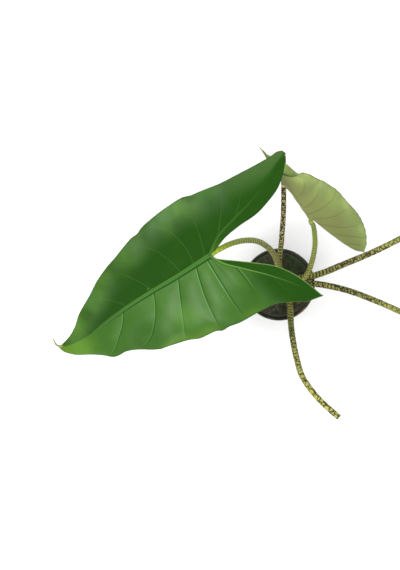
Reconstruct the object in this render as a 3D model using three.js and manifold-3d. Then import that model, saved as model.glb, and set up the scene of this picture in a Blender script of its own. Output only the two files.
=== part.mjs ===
// Potted zebrina alocasia: a round nursery pot full of soil, a corm with its roots, six banded
// leaf stalks and four leaf blades. Millimetres, +Z up, origin at the centre of the pot's base.
// One big blade hangs out to the left (-X), a young one is still rolled at its tip, two grow to
// the right, and two stalks end in plain cuts.

import * as THREE from 'three';
import { mergeVertices } from 'three/addons/utils/BufferGeometryUtils.js';
import Module from 'manifold-3d';

const wasm = await Module();
wasm.setup();

// Clearance between neighbouring pieces
const GAP = 0.35;

// Pot: a thin tapered cup with a deeper band round its mouth
const POT_HEIGHT = 130;
const POT_TOP_RADIUS = 75;
const POT_BASE_RADIUS = 56;
const POT_WALL = 1.9;
const POT_FLOOR = 2.4;
const POT_BAND = 16;
const POT_BAND_STEP = 2;
const POT_SIDES = 48;
const DRAIN_HOLES = 6;
const DRAIN_RADIUS = 4.5;
const DRAIN_CIRCLE = 38;

// Soil: its surface lies below the mouth and is uneven
const SOIL_TOP = 119;
const SOIL_DOME = 3;
const SOIL_CRUMB = 1.8;
const SOIL_RINGS = 8;

// Corm: the stalks stand on its shoulder, its crown shows between them
const CROWN = [26, 1];
const CORM_PROFILE = [
  [0, 44], [12, 46], [21, 54], [25, 66], [25, 76], [22, 80], [9.8, 80], [9, 96], [8, 116],
  [4.5, 124], [0, 126],
];
const CORM_SIDES = 20;
const SHOULDER = 80;
const ROOTS = 7;
const ROOT_LENGTH = 42;
const ROOT_RADIUS = 2.2;

// Blades
const BLADE = 0.9;
const KEEL = 3.4;
const WAVE_ROOM = 30;

// Stalks: a round tube along each route
const STALK_SIDES = 10;
const STALK_STEPS = 30;

// The big leaf. Its outline is given in its own plane: u runs along the midrib to the tip, v to
// the left of it, w up, from the seat of the stalk. In each half `rib` is the vein of the lobe,
// `inner` the lobe's margin towards the stalk, `back` its outer margin as far as level with the
// seat, and `front` the margin from there to the tip.
const bigLeaf = {
  seat: [-152, 37, 530],
  yaw: 214,
  pitch: 22,
  bow: 26,
  lobeBow: 12,
  span: [285, 120, 90],
  arch: 18,
  wave: 2.5,
  midrib: [[0, 0], [54, -2], [99, -5], [149, -7], [198, -7], [241, -6], [284, -12], [303, -20]],
  halves: [
    {
      fold: 0.08,
      rib: [[0, 0], [-10, 22], [-25, 38], [-53, 69], [-74, 100], [-87, 125]],
      inner: [[0, 0], [-8, 10], [-25, 24], [-49, 44], [-63, 58], [-76, 80], [-82, 98], [-87, 125]],
      back: [[-87, 125], [-75, 122], [-66, 121], [-54, 111], [-32, 100], [-7, 97], [20, 96]],
      front: [
        [20, 96], [36, 93], [48, 93], [56, 89], [84, 86], [99, 80], [131, 71], [142, 69], [164, 57],
        [182, 48],
        [194, 45], [212, 44], [222, 41], [236, 31], [256, 19], [283, 4], [300, -10], [303, -20],
      ],
    },
    {
      fold: 0.22,
      rib: [[0, 0], [-23, -12], [-53, -17], [-87, -25], [-120, -39], [-147.5, -49]],
      inner: [[0, 0], [-13, -2], [-31, -7], [-52, -9], [-79, -9], [-95, -12], [-121, -21],
        [-141.5, -39], [-147.5, -49]],
      back: [[-147.5, -49], [-148.5, -53.5], [-142.5, -57], [-133, -57], [-115, -59], [-72, -65],
        [-51, -70], [-26, -76], [-14, -81]],
      front: [
        [-14, -81], [3, -83], [20, -84], [58, -83], [68, -80], [82, -80], [116, -72], [135, -69],
        [157, -64],
        [181, -56], [207, -47], [226, -40], [250, -27], [268, -22], [298, -19], [303, -20],
      ],
    },
  ],
  drip: [[296, -17, -28], [301, -20, -28.6], [299, -27, -27.5], [297, -33, -25]],
};

// The two leaves on the right share one outline, given for the left half; each has its own
// scale, tilt and waves.
const PLAIN_HALF = {
  fold: 0.16,
  rib: [[0, 0], [-28, 22], [-62, 46], [-104, 74]],
  inner: [[0, 0], [-20, 9], [-50, 25], [-82, 48], [-104, 74]],
  back: [[-104, 74], [-97, 86], [-78, 95], [-50, 97], [-20, 96], [12, 92]],
  front: [[12, 92], [50, 84], [100, 68], [150, 48], [200, 27], [235, 13], [262, 3], [272, 0]],
};
const PLAIN_LEAF = {
  bow: 40,
  lobeBow: 10,
  span: [270, 120, 90],
  arch: 14,
  wave: 3,
  midrib: [[0, 0], [70, 1], [140, 0], [210, 1], [272, 0]],
  halves: [PLAIN_HALF, mirrored(PLAIN_HALF)],
};
const upperLeaf = { ...PLAIN_LEAF, seat: [185, 104, 520], yaw: 42, pitch: 48, scale: 0.86 };
const lowerLeaf = { ...PLAIN_LEAF, seat: [196, -78, 482], yaw: -38, pitch: 54, scale: 0.94 };

// The young leaf is folded along its midrib with its back up. Its near half lies open, and its
// far half is tucked under and rolls up towards the tip. The far half is given unrolled, as
// distance along the midrib and distance from it round the roll.
const youngLeaf = {
  seat: [-9.4, 95, 470],
  yaw: 132.7,
  pitch: -26.8,
  near: {
    edge: [[0, 0], [-33, -8], [-81, -22], [-103, -31], [-117, -41]],
    back: [[-117, -41], [-115, -52], [-101, -66], [-82, -72], [-59, -71], [-38, -67]],
    front: [[-38, -67], [-24, -65.2], [-8.5, -62], [6.4, -55.6], [22, -48.4], [35.4, -40.4],
      [41, -38], [51.6, -32.6], [59.4, -26.6], [64.5, -19], [67.5, -12.9], [70, -8.6], [75, -4.3],
      [82, -1.2]],
    slope: [[0, -0.22], [50, 0.1]],
    dome: [[30, 0], [58, 0.75]],
    sag: 0.0032,
    rise: 2,
  },
  far: {
    edge: [[0, 0], [-12, 14], [-40, 34], [-85, 55]],
    back: [[-85, 55], [-80, 62], [-60, 66], [-38, 62]],
    front: [[-38, 62], [0, 54], [20, 54], [40, 57], [58, 61], [64, 61], [70, 60], [82, 56],
      [89, 51.5], [104, 22.6], [112, 9.6], [120, 5.6]],
    start: [[-30, -60], [-10, -42], [0, -35], [20, -65], [40, -92], [52, -108], [60, -118]],
    drop: 2,
  },
  roll: [[-30, 90], [0, 120], [20, 36], [40, 20], [50, 15.5], [58, 12.8], [64, 11.8], [89, 8.6],
    [104, 3.8], [112, 1.6], [120, 1]],
  ribRadius: [2.6, 1.1],
  ribEnd: 120,
  drip: [[104, 0, -2], [113, 0, -1], [121, 0, 0], [127, 1, 1]],
};

// Stalks: hand-set points from the corm to where each ends, and radii at foot and end. `seat`
// adds the last points under a leaf, in that leaf's own frame.
const stalks = [
  {
    name: 'stalk_big_leaf',
    route: [[8, 6], [8, 6, 104], [-8.8, 32.7, 180], [-19.6, 47.6, 225], [-34.8, 58.9, 275],
      [-55.2, 66.9, 330], [-76.9, 68.3, 390], [-99.7, 64, 445], [-121.2, 55.4, 497],
      [-134.5, 48.1, 522]],
    leaf: bigLeaf,
    seat: [[-9, 0, -6.4], [3, 0, -5.8]],
    radii: [6.6, 3.5],
  },
  {
    name: 'stalk_cut_back',
    route: [[18, 18], [18, 18, 104], [-1.5, 38, 150], [-10.5, 84, 230], [-18.4, 125, 300],
      [-27, 160, 355], [-35.2, 202.8, 400]],
    radii: [5.6, 4],
  },
  {
    name: 'stalk_young_leaf',
    route: [[35, -15.5], [35, -15.5, 104], [38.2, -1.5, 160], [41.3, 13.7, 190], [42.9, 23.9, 215],
      [38.5, 47.4, 275], [28.7, 66.1, 335], [15.8, 79, 390], [5, 86.9, 430]],
    leaf: youngLeaf,
    seat: [[-22, -2.2, -16.8], [-13, 0.7, -5.4], [-7.4, 1.5, -2.2]],
    radii: [6, 3.3],
  },
  {
    name: 'stalk_upper_leaf',
    route: [[45, 16], [45, 16, 104], [56, 15, 135], [74, 21.5, 185], [102, 38.5, 262],
      [126, 55, 345], [156, 79, 440]],
    leaf: upperLeaf,
    seat: [[-28, 0, -16], [-10, 0, -6.6], [3, 0, -5.2]],
    radii: [7.2, 3.5],
  },
  {
    name: 'stalk_lower_leaf',
    route: [[43, -2], [43, -2, 104], [52, 2, 150], [71, 0.3, 190], [102, -10.2, 262],
      [129, -28, 345], [160, -51, 425]],
    leaf: lowerLeaf,
    seat: [[-28, 0, -18], [-10, 0, -6.8], [3, 0, -5.2]],
    radii: [7, 3.5],
  },
  {
    name: 'stalk_cut_front',
    route: [[21, -20], [21, -20, 104], [21, -42, 140], [11.6, -86, 210], [8.2, -134, 285],
      [11.5, -160, 325], [31.3, -188.5, 358], [58.2, -212.8, 375]],
    radii: [6.6, 4],
  },
];

function mirrored(half) {
  const flip = (points) => points.map(([u, v]) => [u, -v]);
  return {
    fold: half.fold,
    rib: flip(half.rib),
    inner: flip(half.inner),
    back: flip(half.back),
    front: flip(half.front),
  };
}

// A smooth curve through points, and the point at a share of its length
function curveThrough(points) {
  const knots = points.map(([x, y, z = 0]) => new THREE.Vector3(x, y, z));
  return new THREE.CatmullRomCurve3(knots, false, 'centripetal');
}

// Value at x in a list of [x, value] pairs, straight between them and level beyond
function along(table, x) {
  const next = table.findIndex(([at]) => at > x);
  if (next === 0) return table[0][1];
  if (next === -1) return table[table.length - 1][1];
  const [x0, y0] = table[next - 1];
  const [x1, y1] = table[next];
  return THREE.MathUtils.lerp(y0, y1, (x - x0) / (x1 - x0));
}

function asSolid(geometry) {
  const bare = geometry.clone();
  bare.deleteAttribute('normal');
  bare.deleteAttribute('uv');
  const merged = mergeVertices(bare, 1e-4);
  const mesh = new wasm.Mesh({
    numProp: 3,
    vertProperties: new Float32Array(merged.attributes.position.array),
    triVerts: new Uint32Array(merged.index.array),
  });
  return new wasm.Manifold(mesh);
}

function asGeometry(solid) {
  const mesh = solid.getMesh();
  const geometry = new THREE.BufferGeometry();
  const positions = new Float32Array(mesh.vertProperties);
  geometry.setAttribute('position', new THREE.BufferAttribute(positions, 3));
  geometry.setIndex(new THREE.BufferAttribute(new Uint32Array(mesh.triVerts), 1));
  geometry.computeVertexNormals();
  return geometry;
}

// A round stem along a curve, tapering from its foot to its end, closed by flat ends
function stemGeometry(points, radii, steps, sides, extra = 0) {
  const path = curveThrough(points);
  const frames = path.computeFrenetFrames(steps);
  const positions = [];
  const index = [];
  for (let i = 0; i <= steps; i++) {
    const centre = path.getPointAt(i / steps);
    const radius = THREE.MathUtils.lerp(radii[0], radii[1], i / steps) + extra;
    for (let k = 0; k < sides; k++) {
      const angle = (2 * Math.PI * k) / sides;
      const p = centre.clone();
      p.addScaledVector(frames.normals[i], radius * Math.cos(angle));
      p.addScaledVector(frames.binormals[i], radius * Math.sin(angle));
      positions.push(p.x, p.y, p.z);
    }
  }
  for (let i = 0; i < steps; i++) {
    for (let k = 0; k < sides; k++) {
      const a = i * sides + k;
      const b = i * sides + ((k + 1) % sides);
      index.push(a, b, b + sides, a, b + sides, a + sides);
    }
  }
  const last = steps * sides;
  for (let k = 1; k < sides - 1; k++) {
    index.push(0, k + 1, k, last, last + k, last + k + 1);
  }
  const geometry = new THREE.BufferGeometry();
  geometry.setAttribute('position', new THREE.Float32BufferAttribute(positions, 3));
  geometry.setIndex(index);
  geometry.computeVertexNormals();
  return geometry;
}

// A thin solid from grids of points on its middle surface. Neighbouring grids share the points
// on their common edge. Every point has its depth below the middle surface; both faces are
// split into triangles alike, and the open edges are closed by a narrow band.
function sheetGeometry(grids) {
  const ids = new Map();
  const points = [];
  const depths = [];
  const idOf = ({ point, depth }) => {
    const key = point.toArray().map((value) => value.toFixed(2)).join();
    if (!ids.has(key)) {
      ids.set(key, points.length);
      points.push(point);
      depths.push(depth);
    }
    return ids.get(key);
  };
  const faces = [];
  for (const { rows, turned } of grids) {
    for (let i = 0; i + 1 < rows.length; i++) {
      for (let j = 0; j + 1 < rows[i].length; j++) {
        const quad = [rows[i][j], rows[i + 1][j], rows[i + 1][j + 1], rows[i][j + 1]].map(idOf);
        if (turned) quad.reverse();
        for (const face of [[quad[0], quad[1], quad[2]], [quad[0], quad[2], quad[3]]]) {
          if (new Set(face).size === 3) faces.push(face);
        }
      }
    }
  }
  const normals = points.map(() => new THREE.Vector3());
  for (const [a, b, c] of faces) {
    const ab = points[b].clone().sub(points[a]);
    const area = ab.cross(points[c].clone().sub(points[a]));
    for (const corner of [a, b, c]) normals[corner].add(area);
  }
  const count = points.length;
  const positions = [];
  for (const side of [1, -1]) {
    points.forEach((point, i) => {
      const reach = side > 0 ? BLADE / 2 : depths[i] - BLADE / 2;
      const p = point.clone().addScaledVector(normals[i].clone().normalize(), side * reach);
      positions.push(p.x, p.y, p.z);
    });
  }
  const edges = new Set(faces.flatMap(([a, b, c]) => [`${a},${b}`, `${b},${c}`, `${c},${a}`]));
  const index = [];
  for (const [a, b, c] of faces) {
    index.push(a, b, c, a + count, c + count, b + count);
  }
  for (const edge of edges) {
    const [a, b] = edge.split(',').map(Number);
    if (!edges.has(`${b},${a}`)) index.push(b, a, a + count, b, a + count, b + count);
  }
  const geometry = new THREE.BufferGeometry();
  geometry.setAttribute('position', new THREE.Float32BufferAttribute(positions, 3));
  geometry.setIndex(index);
  geometry.computeVertexNormals();
  return geometry;
}

// Rows of a patch between two curves: `share` along both, `across` from the first to the second
function patchRows(first, second, columns, crosses, surface) {
  const rows = [];
  for (let i = 0; i <= columns; i++) {
    const a = first.getPointAt(i / columns);
    const b = second.getPointAt(i / columns);
    const share = i / columns;
    rows.push(crosses.map((across) => surface(a.clone().lerp(b, across), across, share, a, b)));
  }
  return rows;
}

const OUTER_ROWS = [0, 0.08, 0.3, 0.55, 0.8, 1];
const INNER_ROWS = [0, 0.5, 1];
const BACK_COLUMNS = 9;
const FRONT_COLUMNS = 17;

// An open blade: each half is a patch beside the midrib, one beside the rib of its lobe, and a
// narrow one between that rib and the lobe's inner margin.
function bladeGeometry(leaf) {
  const scale = leaf.scale ?? 1;
  const [tipSpan, lobeSpan, sideSpan] = leaf.span;
  const grids = [];
  leaf.halves.forEach((half, side) => {
    const surfaceFor = (waveStart, keelShare, onMidrib = false) => (at, across, share, spine, rim) => {
      const { x: u, y: v } = at;
      const aside = onMidrib ? v - spine.y : v;
      let w = half.fold * (Math.hypot(aside, 6) - 6) - leaf.arch * (v / sideSpan) ** 2;
      w -= u > 0 ? leaf.bow * (u / tipSpan) ** 2 : leaf.lobeBow * (u / lobeSpan) ** 2;
      const room = Math.min(1, spine.distanceTo(rim) / WAVE_ROOM);
      w += leaf.wave * room * across ** 2 * Math.sin(share * 15 + waveStart + side);
      const depth = across === 0 ? BLADE + keelShare(share) * (KEEL - BLADE) : BLADE;
      return { point: new THREE.Vector3(u, v, w).multiplyScalar(scale), depth };
    };
    const midrib = curveThrough(leaf.midrib);
    const rib = curveThrough(half.rib);
    const back = curveThrough([...half.back].reverse());
    const front = curveThrough(half.front);
    const inner = curveThrough(half.inner);
    const ribKeel = (share) => (1 - share) * 0.35;
    const midKeel = (share) => (1 - share) * Math.min(1, 0.35 + share * 6);
    const frontRows = patchRows(midrib, front, FRONT_COLUMNS, OUTER_ROWS, surfaceFor(0, midKeel, true));
    grids.push({ rows: frontRows, turned: side === 1 });
    const backRows = patchRows(rib, back, BACK_COLUMNS, OUTER_ROWS, surfaceFor(0, ribKeel));
    grids.push({ rows: backRows, turned: side === 0 });
    const innerRows = patchRows(rib, inner, BACK_COLUMNS, INNER_ROWS, surfaceFor(2, ribKeel));
    grids.push({ rows: innerRows, turned: side === 1 });
  });
  return sheetGeometry(grids);
}

const NEAR_ROWS = [0, 0.15, 0.35, 0.55, 0.78, 1];
const FAR_ROWS = Array.from({ length: 13 }, (_, i) => i / 12);
const YOUNG_FRONT = 18;
const YOUNG_BACK = 8;

// Both halves of the young leaf as thin sheets held together by the midrib along the fold
function youngGeometry(leaf) {
  const { near, far, roll } = leaf;
  const nearPoint = ({ x: u, y: v }) => {
    const x = Math.abs(v);
    const round = along(roll, u);
    const dome = along(near.dome, u) * round * (1 - (1 - Math.min(x / round, 2)) ** 2);
    const w = near.rise + along(near.slope, u) * x - near.sag * x * x + Math.max(dome, 0);
    return { point: new THREE.Vector3(u, v, w), depth: BLADE };
  };
  const farPoint = ({ x: u, y: reach }) => {
    const round = along(roll, u);
    const start = THREE.MathUtils.degToRad(along(far.start, u));
    const turn = start + reach / round;
    const v = -round * (Math.sin(turn) - Math.sin(start));
    const w = -far.drop - round * (Math.cos(turn) - Math.cos(start));
    return { point: new THREE.Vector3(u, v, w), depth: BLADE };
  };
  const halfGrids = (half, crosses, surface, turned) => {
    const foldEnd = new THREE.Vector3(half.front.at(-1)[0] - 1, 0, 0);
    const fold = new THREE.LineCurve3(new THREE.Vector3(), foldEnd);
    const front = curveThrough(half.front);
    const back = curveThrough([...half.back].reverse());
    const edge = curveThrough(half.edge);
    return [
      { rows: patchRows(fold, front, YOUNG_FRONT, crosses, surface), turned },
      { rows: patchRows(edge, back, YOUNG_BACK, crosses, surface), turned: !turned },
    ];
  };
  const nearSheet = asSolid(sheetGeometry(halfGrids(near, NEAR_ROWS, nearPoint, true)));
  const farSheet = asSolid(sheetGeometry(halfGrids(far, FAR_ROWS, farPoint, false)));
  const midrib = stemGeometry([[-6, 0, 0], [leaf.ribEnd / 2, 0, 0],
    [leaf.ribEnd, 0, 0]], leaf.ribRadius, 14, 8);
  const drip = stemGeometry(leaf.drip, [1.6, 0.5], 6, 6);
  return asGeometry(nearSheet.add(farSheet).add(asSolid(midrib)).add(asSolid(drip)));
}

function placed(object, leaf) {
  const [yaw, pitch] = [leaf.yaw, leaf.pitch].map(THREE.MathUtils.degToRad);
  object.position.set(...leaf.seat);
  object.rotation.set(0, pitch, yaw, 'ZYX');
  object.updateMatrixWorld();
  return object;
}

function stalkPoints({ route, leaf, seat = [] }) {
  const [foot, ...rest] = route;
  const points = [[...foot, SHOULDER + GAP], ...rest];
  if (!leaf) return points;
  const frame = placed(new THREE.Object3D(), leaf);
  return [...points, ...seat.map((local) => frame.localToWorld(new THREE.Vector3(...local)).toArray())];
}

function potGeometry() {
  const bandFoot = POT_HEIGHT - POT_BAND;
  const slope = (POT_TOP_RADIUS - POT_BAND_STEP - POT_BASE_RADIUS) / POT_HEIGHT;
  const wallAt = (z) => POT_BASE_RADIUS + slope * z;
  const profile = [
    [0, 0],
    [POT_BASE_RADIUS - 1.5, 0],
    [POT_BASE_RADIUS, 1.6],
    [wallAt(bandFoot), bandFoot],
    [wallAt(bandFoot) + POT_BAND_STEP, bandFoot + 0.6],
    [POT_TOP_RADIUS, POT_HEIGHT - 1],
    [POT_TOP_RADIUS - 0.8, POT_HEIGHT],
    [POT_TOP_RADIUS - 2.6, POT_HEIGHT],
    [POT_TOP_RADIUS - 3.2, POT_HEIGHT - 1],
    [wallAt(bandFoot) - POT_WALL, bandFoot - 1],
    [wallAt(POT_FLOOR) - POT_WALL, POT_FLOOR],
    [0, POT_FLOOR],
  ];
  return turned(profile, POT_SIDES);
}

// A body of revolution about +Z, from [radius, height] pairs
function turned(profile, sides) {
  const lathe = new THREE.LatheGeometry(profile.map(([r, z]) => new THREE.Vector2(r, z)), sides);
  return lathe.rotateX(Math.PI / 2);
}

function drainedPot() {
  let pot = asSolid(potGeometry());
  for (let i = 0; i < DRAIN_HOLES; i++) {
    const angle = (2 * Math.PI * i) / DRAIN_HOLES;
    const hole = new THREE.CylinderGeometry(DRAIN_RADIUS, DRAIN_RADIUS, 4 * POT_FLOOR, 12);
    hole.rotateX(Math.PI / 2);
    hole.translate(DRAIN_CIRCLE * Math.cos(angle), DRAIN_CIRCLE * Math.sin(angle), 0);
    pot = pot.subtract(asSolid(hole));
  }
  return asGeometry(pot);
}

function cormSolid(extra) {
  const profile = CORM_PROFILE.map(([r, z], i) => {
    if (i === 0) return [0, z - extra];
    if (i === CORM_PROFILE.length - 1) return [0, z + extra];
    return [r + extra, z > 70 ? z + extra : z - extra];
  });
  let corm = asSolid(turned(profile, CORM_SIDES).translate(...CROWN, 0));
  for (let i = 0; i < ROOTS; i++) {
    const angle = (2 * Math.PI * i) / ROOTS + 0.3;
    const reach = ROOT_LENGTH * (0.8 + 0.2 * Math.cos(5 * i));
    const sideways = new THREE.Vector3(Math.cos(angle), Math.sin(angle), 0);
    const start = new THREE.Vector3(...CROWN, 60).addScaledVector(sideways, 18);
    const middle = start.clone().addScaledVector(sideways, reach * 0.35).setZ(48);
    const end = new THREE.Vector3(0, 0, 16).addScaledVector(sideways, 34);
    const route = [start, middle, end].map((p) => p.toArray());
    corm = corm.add(asSolid(stemGeometry(route, [ROOT_RADIUS, ROOT_RADIUS * 0.6], 6, 6, extra)));
  }
  return corm;
}

function soilGeometry() {
  const slope = (POT_TOP_RADIUS - POT_BAND_STEP - POT_BASE_RADIUS) / POT_HEIGHT;
  const radiusAt = (z) => POT_BASE_RADIUS + slope * z - POT_WALL - 2 * GAP;
  const floor = POT_FLOOR + GAP;
  const profile = [[0, floor], [radiusAt(floor), floor]];
  for (let i = SOIL_RINGS; i > 0; i--) {
    profile.push([(radiusAt(SOIL_TOP - 3) * i) / SOIL_RINGS, SOIL_TOP - 2]);
  }
  profile.push([0, SOIL_TOP - 2]);
  const body = turned(profile, POT_SIDES - 12);
  const position = body.attributes.position;
  for (let i = 0; i < position.count; i++) {
    const [x, y, z] = [position.getX(i), position.getY(i), position.getZ(i)];
    const far = Math.hypot(x, y) / radiusAt(SOIL_TOP - 3);
    const crumb = Math.sin(0.31 * x + 1.7) * Math.cos(0.27 * y - 0.4) + Math.sin(0.19 * (x - y)) * 0.7;
    const heave = SOIL_DOME * (1 - far ** 4) + SOIL_CRUMB * crumb * (1 - far ** 8);
    if (z > SOIL_TOP - 5) position.setZ(i, z + heave);
  }
  let soil = asSolid(body).subtract(cormSolid(GAP));
  for (const stalk of stalks) {
    const points = stalkPoints(stalk);
    const hole = stemGeometry([[points[0][0], points[0][1], SHOULDER - 1], ...points.slice(1)],
      stalk.radii, STALK_STEPS, STALK_SIDES, GAP);
    soil = soil.subtract(asSolid(hole));
  }
  return asGeometry(soil);
}

function withDrip(geometry, leaf) {
  const drip = stemGeometry(leaf.drip, [1.4, 0.5], 6, 6);
  return asGeometry(asSolid(geometry).add(asSolid(drip)));
}

function piece(name, geometry, colour, roughness, metalness = 0) {
  const material = new THREE.MeshStandardMaterial({ color: colour, roughness, metalness });
  const mesh = new THREE.Mesh(geometry, material);
  mesh.name = name;
  return mesh;
}

const plant = new THREE.Group();
plant.add(piece('pot', drainedPot(), 0x17191a, 0.45));
plant.add(piece('soil', soilGeometry(), 0x37352a, 0.95));
plant.add(piece('corm_with_roots', asGeometry(cormSolid(0)), 0x7a6240, 0.8));
for (const stalk of stalks) {
  const geometry = stemGeometry(stalkPoints(stalk), stalk.radii, STALK_STEPS, STALK_SIDES);
  plant.add(piece(stalk.name, geometry, 0x8f9048, 0.5));
}
const bigBlade = withDrip(bladeGeometry(bigLeaf), bigLeaf);
plant.add(placed(piece('blade_big_leaf', bigBlade, 0x2f6b22, 0.35), bigLeaf));
plant.add(placed(piece('blade_upper_leaf', bladeGeometry(upperLeaf), 0x2f6b22, 0.35), upperLeaf));
plant.add(placed(piece('blade_lower_leaf', bladeGeometry(lowerLeaf), 0x2f6b22, 0.35), lowerLeaf));
plant.add(placed(piece('blade_young_leaf', youngGeometry(youngLeaf), 0x9fae68, 0.5), youngLeaf));

export default plant;
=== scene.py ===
import math
import random

import bmesh
import bpy
from mathutils import Euler, Matrix, Vector, noise


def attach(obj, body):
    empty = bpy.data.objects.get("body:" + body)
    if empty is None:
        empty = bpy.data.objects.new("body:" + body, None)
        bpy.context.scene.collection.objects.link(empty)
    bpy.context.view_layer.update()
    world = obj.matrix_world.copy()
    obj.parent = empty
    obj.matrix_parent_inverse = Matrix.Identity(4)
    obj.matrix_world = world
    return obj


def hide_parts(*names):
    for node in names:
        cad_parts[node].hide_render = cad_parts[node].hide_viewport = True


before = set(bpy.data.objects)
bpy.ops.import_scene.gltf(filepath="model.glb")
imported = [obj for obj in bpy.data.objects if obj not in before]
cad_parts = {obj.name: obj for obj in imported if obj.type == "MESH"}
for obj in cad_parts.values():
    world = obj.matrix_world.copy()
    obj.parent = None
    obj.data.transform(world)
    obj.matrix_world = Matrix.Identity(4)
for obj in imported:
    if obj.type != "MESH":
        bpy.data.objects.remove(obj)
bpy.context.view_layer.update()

# Shapes are worked out in millimetres and brought to metres when a piece is finished.
MM = 0.001

# How far neighbours stay apart, and how far the soil stays from the pot's side
CLEARANCE = 0.35
SOIL_SIDE_GAP = 0.7

# Pot, soil and corm, as in the solid model
POT_HEIGHT = 130
POT_TOP_RADIUS = 75
POT_BASE_RADIUS = 56
POT_WALL = 1.9
POT_FLOOR = 2.4
POT_BAND = 16
POT_BAND_STEP = 2
POT_SLOPE = (POT_TOP_RADIUS - POT_BAND_STEP - POT_BASE_RADIUS) / POT_HEIGHT
DRAIN_HOLES = 6
DRAIN_RADIUS = 4.5
DRAIN_CIRCLE = 38
SOIL_TOP = 119
SOIL_RADIUS = 68.6
CROWN = (26, 1)
CORM_SHOULDER = 80
CORM_PROFILE = [
    (0, 44), (6, 44.6), (12, 46), (17, 49.5), (21, 54), (23.6, 59), (25, 66), (25.3, 71), (25, 76),
    (23.8, 79), (22, 79.9), (14, CORM_SHOULDER), (9.8, 80.4), (9.2, 88), (9, 96), (8.6, 104), (8, 116),
    (6.6, 121), (4.5, 124), (2, 125.6), (0, 126),
]
ROOTS = 7
ROOT_REACH = 42
ROOT_RADII = (2.2, 1.3)
SHOULDER = CORM_SHOULDER + CLEARANCE

# What lies on the soil: how many chips and grains and how far out they reach, and for each bed of
# moss its place, spread and number of tufts
CHIPS = (520, 64.5)
PERLITE = (45, 64)
MOSS_REACH = 65
MOSS_BEDS = [(28, 45, 13, 620), (44, 30, 8, 220), (-30, 36, 7, 140), (8, -50, 8, 150), (52, -22, 6, 90)]

# How finely pieces are divided: a blade's patches along the midrib, along a lobe's rib, across the
# blade and across a lobe's inner strip, the soil's rings and sectors, and the pot and corm round
BLADE_GRID = (170, 90, 56, 14)
SOIL_GRID = (84, 220)
POT_SIDES = 144
CORM_SIDES = 64

# Thickness of a blade, the usual half width of a rib, how round the fold at a rib is, and the
# width below which a blade waves less
BLADE = 0.9
USUAL_RIB = 2.3
FOLD_ROUNDING = 6
WAVE_ROOM = 30

# How much the rows of a patch crowd towards its rib, and where along the midrib the vein after the
# last one would leave it
CROWDING = 1.4
BEYOND_TIP = 1.12

# Points of the round rib under a blade, and how deep its middle lies under the sheet's
SPINE_POINTS = 25
SPINE_DEPTH = 2.5

# Half widths of the midrib along a blade
MIDRIB_WIDTHS = [(0, 3.1), (0.1, 2.8), (0.65, 2.3), (0.85, 1.4), (1, 0.5)]

# Leaves, each in its own plane: u along the midrib to the tip, v to the left of it. bow, lobe_bow and
# arch are how far the tip, the lobes and the sides droop at the distances in span, wave is how far
# the margin waves and puff how far the blade rises between its veins. vein_fade is where the veins
# fade out towards the tip. A half has the rib of its lobe, the lobe's inner margin, and its outer
# margin behind and in front of the seat. fold is how steeply a half rises beside its ribs, clear how
# plain its veins are, light how much painted sheen it gets (the half that faces the lamps is painted
# lighter, the other half painted darker as if in shade) and pale_rim how pale its lobe's rim is. A
# vein is where it leaves its rib as a share of the rib, its lean along the rib and its bend.
BIG_LEAF = {
    "seat": (-152, 37, 530),
    "yaw": 214,
    "pitch": 22,
    "scale": 1,
    "bow": 26,
    "lobe_bow": 12,
    "span": (285, 120, 90),
    "arch": 18,
    "wave": 2.5,
    "puff": 2.2,
    "midrib": [(0, 0), (54, -2), (99, -5), (149, -7), (198, -7), (241, -6), (284, -12), (303, -20)],
    "halves": [
        {
            "fold": 0.08,
            "clear": 1.0,
            "light": 1.0,
            "pale_rim": 1.0,
            "rib": [(0, 0), (-9, 18), (-24, 34.5), (-52, 66.5), (-74, 100), (-87, 125)],
            "inner": [(0, 0), (-8, 10), (-25, 24), (-49, 44), (-63, 58), (-76, 80), (-82, 98), (-87, 125)],
            "back": [(-87, 125), (-75, 122), (-66, 121), (-54, 111), (-32, 100), (-7, 97)],
            "front": [
                (-7, 97), (20, 96), (36, 93), (48, 93), (56, 89), (84, 86), (99, 80), (131, 71), (142, 69),
                (164, 57), (182, 48), (194, 45), (212, 44), (222, 41), (236, 31), (256, 19), (283, 4),
                (300, -10), (303, -20),
            ],
            "front_veins": [
                (0.023, 0.039, -0.003), (0.078, 0.142, -0.056), (0.177, 0.176, -0.017),
                (0.323, 0.093, 0.13), (0.518, 0.116, 0.102), (0.69, 0.12, 0.05), (0.85, 0.07, 0),
            ],
            "back_veins": [(0.264, 0.025, -0.17), (0.56, 0.06, -0.05), (0.8, 0.05, 0)],
        },
        {
            "fold": 0.22,
            "clear": 0.4,
            "light": 0.0,
            "pale_rim": 0.0,
            "rib": [(0, 0), (-22, -12.7), (-50, -19.5), (-87, -26.5), (-120, -37), (-147.5, -49)],
            "inner": [
                (0, 0), (-13, -2), (-31, -7), (-52, -9), (-79, -9), (-95, -12), (-121, -21), (-141.5, -39),
                (-147.5, -49),
            ],
            "back": [
                (-147.5, -49), (-148.5, -53.5), (-142.5, -57), (-133, -57), (-115, -59), (-72, -65),
                (-51, -70), (-26, -76),
            ],
            "front": [
                (-26, -76), (-14, -81), (3, -83), (20, -84), (58, -83), (68, -80), (82, -80), (116, -72),
                (135, -69), (157, -64), (181, -56), (207, -47), (226, -40), (250, -27), (268, -22),
                (298, -19), (303, -20),
            ],
            "front_veins": [
                (0.024, -0.055, 0.076), (0.083, -0.016, 0.142), (0.154, 0.063, 0.135), (0.314, 0.18, 0),
                (0.48, 0.17, 0.02), (0.67, 0.14, 0), (0.84, 0.09, 0),
            ],
            "back_veins": [(0.177, 0.318, -0.196), (0.4, 0.25, -0.12), (0.62, 0.2, -0.08), (0.82, 0.12, 0)],
        },
    ],
    "drip": [
        (295, -16.5, -28.1), (300.5, -19.5, -28.9), (303, -23, -28.5), (301.8, -28, -27), (299, -33, -25),
    ],
    "vein_seed": 3,
    "vein_fade": (0.68, 0.54),
}

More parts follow.
